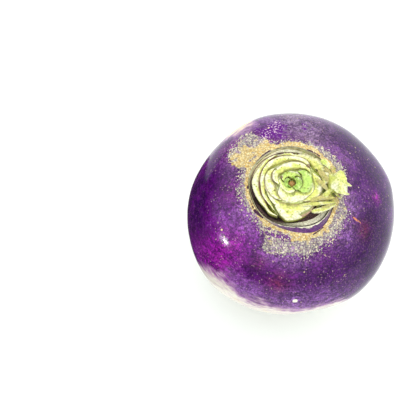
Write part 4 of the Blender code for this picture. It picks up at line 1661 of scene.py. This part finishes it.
def stub_shell():
    """The stub: a thin neck, and an angular lump with its rough cut end."""
    turns = all_round(STUB_TURNS)
    path = [(share, 1.0) for share in np.linspace(0, STUB_END_START, STUB_RINGS)]
    path += [(1.0, size) for size in STUB_END_SIZES]
    neck_end, neck_blend = STUB_NECK_END
    wall_end, wall_blend = STUB_SHADED_WALL_END
    rings = []
    for share, size in path:
        slim = 1 - STUB_SLIM * (1 - smooth_step((share - neck_end) / neck_blend))
        seed = STUB_ROUGH_SEED + round(share * 4)
        rough = ripple(turns, STUB_WAVES, STUB_ROUGH, seed)
        centre = stub_ring(share, np.array([0.0]), 0.0)
        away = stub_ring(share, turns, size * slim) - centre
        rings.append(centre + away * (1 + rough[:, None]))
    rings = np.array(rings)
    lump = STUB_RINGS // 2
    rings[lump:] = whittled(rings[lump:], STUB_SEED)
    shares = np.array([share for share, _ in path])[:, None]
    wall = 1 - smooth_step((shares - wall_end) / wall_blend)
    # The neck takes the wall colour, and its depth darkens it near the core as painted shadow
    return leaf_shell(rings, wall=wall, depth=0.6 * wall, age=0.35, share=0.1 + 0.25 * shares)


# %% Shells of the torn strips and bits
def torn_bits():
    """Small shreds at random in a box among the torn strips."""
    draw = np.random.default_rng(BIT_SEED)
    bits = []
    for _ in range(BIT_COUNT):
        start, run = draw.uniform(BIT_LOW, BIT_HIGH), draw.uniform(BIT_RUN_LOW, BIT_RUN_HIGH)
        path = start, start + run / 2, start + run + BIT_DROP
        half_width, age = draw.uniform(*BIT_HALF_WIDTHS), draw.uniform(*BIT_AGES)
        bits.append((*path, half_width, BIT_HALF_THICKNESS, age))
    return bits


def shred_shell(index, shred):
    """A torn strip of leaf base, thin and ragged, along a bent path."""
    *path, half_width, half_thickness, age = shred
    path = np.array(path) * MM
    shares = np.linspace(0, 1, SHRED_RINGS)
    cosine, sine = [trace(all_round(SHRED_TURNS))[:, None] for trace in (np.cos, np.sin)]
    ragged = ripple(shares * math.tau, SHRED_WAVES, SHRED_RAGGED, index + SHRED_SEED)
    rings = []
    for share, wave in zip(shares, ragged):
        middle = curve_point(path, share)
        ahead = curve_point(path, share + PATH_STEP) - middle
        side = np.cross(ahead, [0, 0, 1])
        side = side / np.linalg.norm(side)
        up = np.cross(side, ahead)
        up = up / np.linalg.norm(up)
        taper = (1 - SHRED_TAPER * share**3) * min(1, 0.5 + 3 * share)
        width = half_width * MM * (1 + wave) * taper
        thickness = half_thickness * MM * (1 + wave * 0.5)
        rings.append(middle + cosine * side * width + sine * up * thickness)
    return leaf_shell(rings, age=age, share=0.1 + 0.5 * np.abs(cosine.T), stain=0.3 * age)


all_shreds = [*SHREDS, *torn_bits()]
print("torn strips and bits", len(all_shreds))

# %% [markdown]
# ## The finish of the cut leaf bases
#
# The cut faces are wet, pale and slightly see-through: yellow green near the heart,
# cream towards the outside, with a greener line along each inner edge and a row of
# tiny dots where the veins were cut. Here and there they are bruised, and one in front
# is worn to pink. The outer walls of the old leaves have gone brown and pink. Some light
# passes under the surface, so a little subsurface is set.

# %% Colours and marks of the leaf bases
LEAF_GREEN = (184, 224, 106)
LEAF_YELLOW = (218, 226, 116)
LEAF_CREAM = (246, 248, 206)
LEAF_LINE = (116, 124, 28)
LEAF_OLD = (206, 196, 118)
LEAF_BROWN = (98, 48, 38)
LEAF_PINK = (166, 122, 104)
HEART_BROWN = (190, 146, 84)
VEIN = (150, 156, 40)
# A blush on the outer walls and a worn patch in front: centre and reach in mm, raggedness
BLUSH = ((7, -12.5, 74.5), 4, 1.2)
WORN = ((5.5, -12.2, 76.6), 5, 1.2)
# Bruises and specks on the cut faces: centre and reach in mm, colour
BRUISES = (
    ((-6.7, 3.8, 77.4), 0.9, LEAF_BROWN),
    ((-10, -3.1, 77.7), 0.5, LEAF_BROWN),
    ((5.7, 8.8, 77.8), 1.1, LEAF_BROWN),
    ((9.2, 6.7, 77), 0.9, SCAR_DARK),
    ((-9.1, 7.4, 77.4), 0.7, LEAF_LINE),
    ((-4.2, -9.8, 77.9), 1.1, LEAF_LINE),
    ((-1.5, -4.7, 77.4), 0.9, LEAF_LINE),
    ((-14.5, -1.5, 77.3), 0.7, LEAF_OLD),
    ((-4.6, -13.5, 77.7), 0.5, VEIN),
    ((4.2, -4, 76.8), 0.5, VEIN),
    ((-18.9, -0.1, 77.3), 0.5, VEIN),
    ((-3.2, 12.3, 77.8), 0.5, VEIN),
    ((-10, -10.2, 77.8), 0.5, VEIN),
    ((-7.6, -13, 77.7), 0.4, VEIN),
    ((-2.4, -14.6, 77.7), 0.4, VEIN),
)
BRUISE_STRENGTH = 0.75
# Streaks and fibres along the cut faces: scale of the noise, and how much finer fibres are
LEAF_STREAKS = 2.6
FIBRE_STRETCH = (2.5, 3.5, 1.0)
# A bruise is measured in a place flattened like this, so that it goes through the face
FLATTEN = Vector((1.0, 1.0, 0.25))

# %% The finish of the leaf bases
leaf_finish, bench = new_finish("cut leaf base")
soft, fine = bench.noise(4, 3), bench.noise(1.0, 4)
age, share, wall, depth = map(bench.field, ("age", "share", "wall", "depth"))
streak_place = bench.combine(bench.turn_about(BUD_CENTRE), share * 2.0, age * 20.0)
streaks = bench.noise(detail=4.0, place=streak_place, scale=LEAF_STREAKS)
fibre_place = streak_place.vector("MULTIPLY", FIBRE_STRETCH)
fibres = bench.noise(detail=3.0, place=fibre_place, scale=LEAF_STREAKS)
pale = share + streaks * 1.2 + (soft - 0.5) * 1.8 - age.ease(0.0, 0.25, 0.45, 0.0)
rim = abs(share * 2.0 - 1.0)
vein_away, vein_draw = bench.cells(1.9)
vein = vein_away.ease(0.14, 0.26, 0.85, 0.0) * vein_draw.parts("Color")[0].ease(0.45, 0.5)
worn_tone = bench.blend(share.ease(0.76, 0.98), LEAF_LINE, LEAF_PINK)
face = bench.coats(
    LEAF_GREEN,
    (age.ease(-0.1, 0.4), LEAF_YELLOW),
    (pale.ease(0.8, 1.4), LEAF_CREAM),
    (fibres.ease(0.55, 0.68, 0.0, 0.4), LEAF_LINE),
    ((age + fine * 0.5).ease(0.9, 1.3), LEAF_OLD),
    (share.ease(0.1, 0.0) * streaks.ease(0.35, 0.6, 0.25, 0.8), LEAF_LINE),
    (bench.field("stain") * streaks.ease(0.3, 0.5, 0.4, 1.0), LEAF_BROWN),
    (vein * rim.ease(0.3, 0.7, 1.0, 0.0), VEIN),
    (spot(bench.place, *WORN) * share.ease(0.5, 0.72, 0.0, 0.85), worn_tone),
)
level_place = bench.place.vector("MULTIPLY", tuple(FLATTEN))
for centre, reach, tone in BRUISES:
    bruise = spot(level_place, Vector(centre) * FLATTEN, reach, 1.0)
    face = bench.blend(bruise * BRUISE_STRENGTH, face, tone)
side = bench.coats(
    LEAF_LINE,
    (age.ease(0.1, 0.6), LEAF_YELLOW),
    (spot(bench.place, *BLUSH), LEAF_PINK),
    (fine.ease(0.52, 0.7, 0.0, 0.6), LEAF_BROWN),
    # Painted shade: the walls darken towards their feet, deep between the leaf bases
    (depth.ease(0.4, 0.95, 0.0, 0.85), SCAR_DARK),
)
tone = bench.coats(face, (wall, side), (age.ease(-0.7, -0.9), HEART_BROWN))
bench.dress(
    {
        "Base Color": tone.times(fine.ease(0.35, 0.65, 0.78, 1.18)),
        "Roughness": 0.36,
        "Specular IOR Level": 0.4,
        "Subsurface Weight": 0.15,
        "Subsurface Radius": (1.0, 1.0, 0.4),
        "Subsurface Scale": 0.8 * MM,
        "Normal": bench.bump(fine, 0.2),
    }
)
bench.tell("leaf finish")

# %% Fibres on the torn rims
FRAYED = {11: 0.25, 12: 1.0}
RIM_START = 0.3
FIBRES = {"Density": 2.2, "Length": 2.2 * MM, "Thickness": 0.13 * MM, "Lean": 1.1, "Seed": 5}
fibre_shells = []
for index, strength in FRAYED.items():
    shell_points, shell_faces, shell_fields = shells[index]
    top_rim = (1 - shell_fields["wall"]) * (np.abs(shell_fields["share"] - 0.5) > RIM_START)
    fibre_shells.append((shell_points, shell_faces, {"tufts": top_rim * strength}))
torn_fibres = make_piece("torn_fibres", fibre_shells)
run_growth(torn_fibres, hair_tree, {**FIBRES, "Material": leaf_finish})

# %% Build the rosette
# Edges that turn by more degrees than this stay sharp
LEAF_EDGE = 42
STUB_EDGE = 16
shells += [core_shell()]
shells += [shred_shell(index, shred) for index, shred in enumerate(all_shreds)]
heart_shells = [bud_shell()] + [leaflet_shell(*leaflet) for leaflet in LEAFLETS]
leaf_bases = make_piece("leaf_bases", shells, leaf_finish, sharp=LEAF_EDGE)
snapped_stub = make_piece("snapped_stub", [stub_shell()], leaf_finish, sharp=STUB_EDGE)
leaf_heart = make_piece("leaf_heart", heart_shells, leaf_finish)
print("leaf bases", count_triangles(leaf_bases), "heart", count_triangles(leaf_heart))

# %% [markdown]
# ## Join the pieces to the frame
#
# Each piece rides on the one body, and the fine pieces stand in for the two CAD nodes,
# which are hidden.

# %% Ride on the body, and stand in for the CAD parts
PIECES = (
    (root_skin, "purple_skin"),
    (corky_flakes, "corky_scar"),
    (leaf_bases, "cut_leaf_base"),
    (leaf_heart, "cut_leaf_base"),
    (snapped_stub, "cut_leaf_base"),
    (torn_fibres, "cut_leaf_base"),
    (taproot_cut, "root_flesh"),
    (fine_roots, "root_flesh"),
)
for piece, slot in PIECES:
    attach(piece, "root")
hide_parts("swollen_root")
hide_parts("leaf_base_rosette")
print("triangles in all", sum(count_triangles(piece) for piece, _ in PIECES))

# %% [markdown]
# ## Floor and light
#
# The photograph is high key: a white ground, soft light from above and one small bright
# light low on the left, which makes the only highlight. A dark purple skin shows what it
# reflects, so the sky is darker near the horizon, and nearly black low on the left: the
# left side of the root is the deepest purple in the picture. For the same reason a dark
# card lies on the floor there, which only reflections see.

# %% The floor, and a dark card that only reflections see
FLOOR_CORNERS = ((-3000, -3000), (3000, -3000), (3000, 3000), (-3000, 3000))
FLOOR_WHITE = (0.93, 0.97, 0.97, 1)
CARD_CORNERS = ((-2500, -1700), (-50.5, -70), (-50.5, 60), (-2500, 1700))
CARD_HEIGHT = 0.5 * MM
CARD_PURPLE = eye_colour((50, 20, 56))


def lay_sheet(name, corners, height, looks):
    """A flat sheet for the studio, with corners in mm."""
    mesh = bpy.data.meshes.new(name)
    mesh.from_pydata([(x * MM, y * MM, height) for x, y in corners], [], [(0, 1, 2, 3)])
    finish, bench = new_finish(name)
    bench.dress({"Roughness": 0.9, **looks})
    mesh.materials.append(finish)
    sheet = bpy.data.objects.new(name, mesh)
    bpy.context.scene.collection.objects.link(sheet)
    return sheet


floor = lay_sheet("floor", FLOOR_CORNERS, 0, {"Base Color": FLOOR_WHITE, "Specular IOR Level": 0.0})
card = lay_sheet("dark_card", CARD_CORNERS, CARD_HEIGHT, {"Base Color": CARD_PURPLE})
card.visible_camera = card.visible_diffuse = card.visible_shadow = False
floor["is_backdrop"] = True
card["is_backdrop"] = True
print("stage:", floor.name, card.name)

# %% Sky and glint
SKY_OVERHEAD = 1.55
SKY_HORIZON = 0.9
GLINT_DIRECTION = Vector((-0.844, -0.322, 0.428))
GLINT_DISTANCE = 1.2
GLINT_SIZE = 0.022
GLINT_POWER = 3.0

world = bpy.data.worlds.new("white room")
world.use_nodes = True
bpy.context.scene.world = world
sky = Bench(world.node_tree)
from_left, from_front, upwards = sky.make("ShaderNodeTexCoord", None, "Generated").parts()
low_left = from_left.ease(-0.9, 0.5, -0.95, 0.1) * upwards.ease(0.15, 0.7, 1.0, 0.0)
strength = upwards.ease(0.0, 0.75, SKY_HORIZON, SKY_OVERHEAD) * (low_left + 1.0)
background = world.node_tree.nodes["Background"]
background.inputs["Color"].default_value = (1, 1, 1, 1)
sky.feed(background.inputs["Strength"], strength * from_front.ease(-0.6, 0.8, 0.8, 1.3))

glint = bpy.data.lights.new("glint", "AREA")
glint.shape = "DISK"
glint.size = GLINT_SIZE
glint.energy = GLINT_POWER
glint_object = bpy.data.objects.new("glint", glint)
glint_object.location = ROOT_MIDDLE + GLINT_DIRECTION * GLINT_DISTANCE
glint_object.rotation_euler = GLINT_DIRECTION.to_track_quat("Z", "Y").to_euler()
glint_object.visible_diffuse = False
bpy.context.scene.collection.objects.link(glint_object)
bpy.context.scene.view_settings.view_transform = "Standard"
print("glint at", [round(value, 2) for value in glint_object.location])

# %% [markdown]
# ## Close the scene
#
# The box of the finished object is printed, as the CAD part's was at the start.

# %% Sizes and finish
visual_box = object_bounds()
print_box("visual", visual_box)
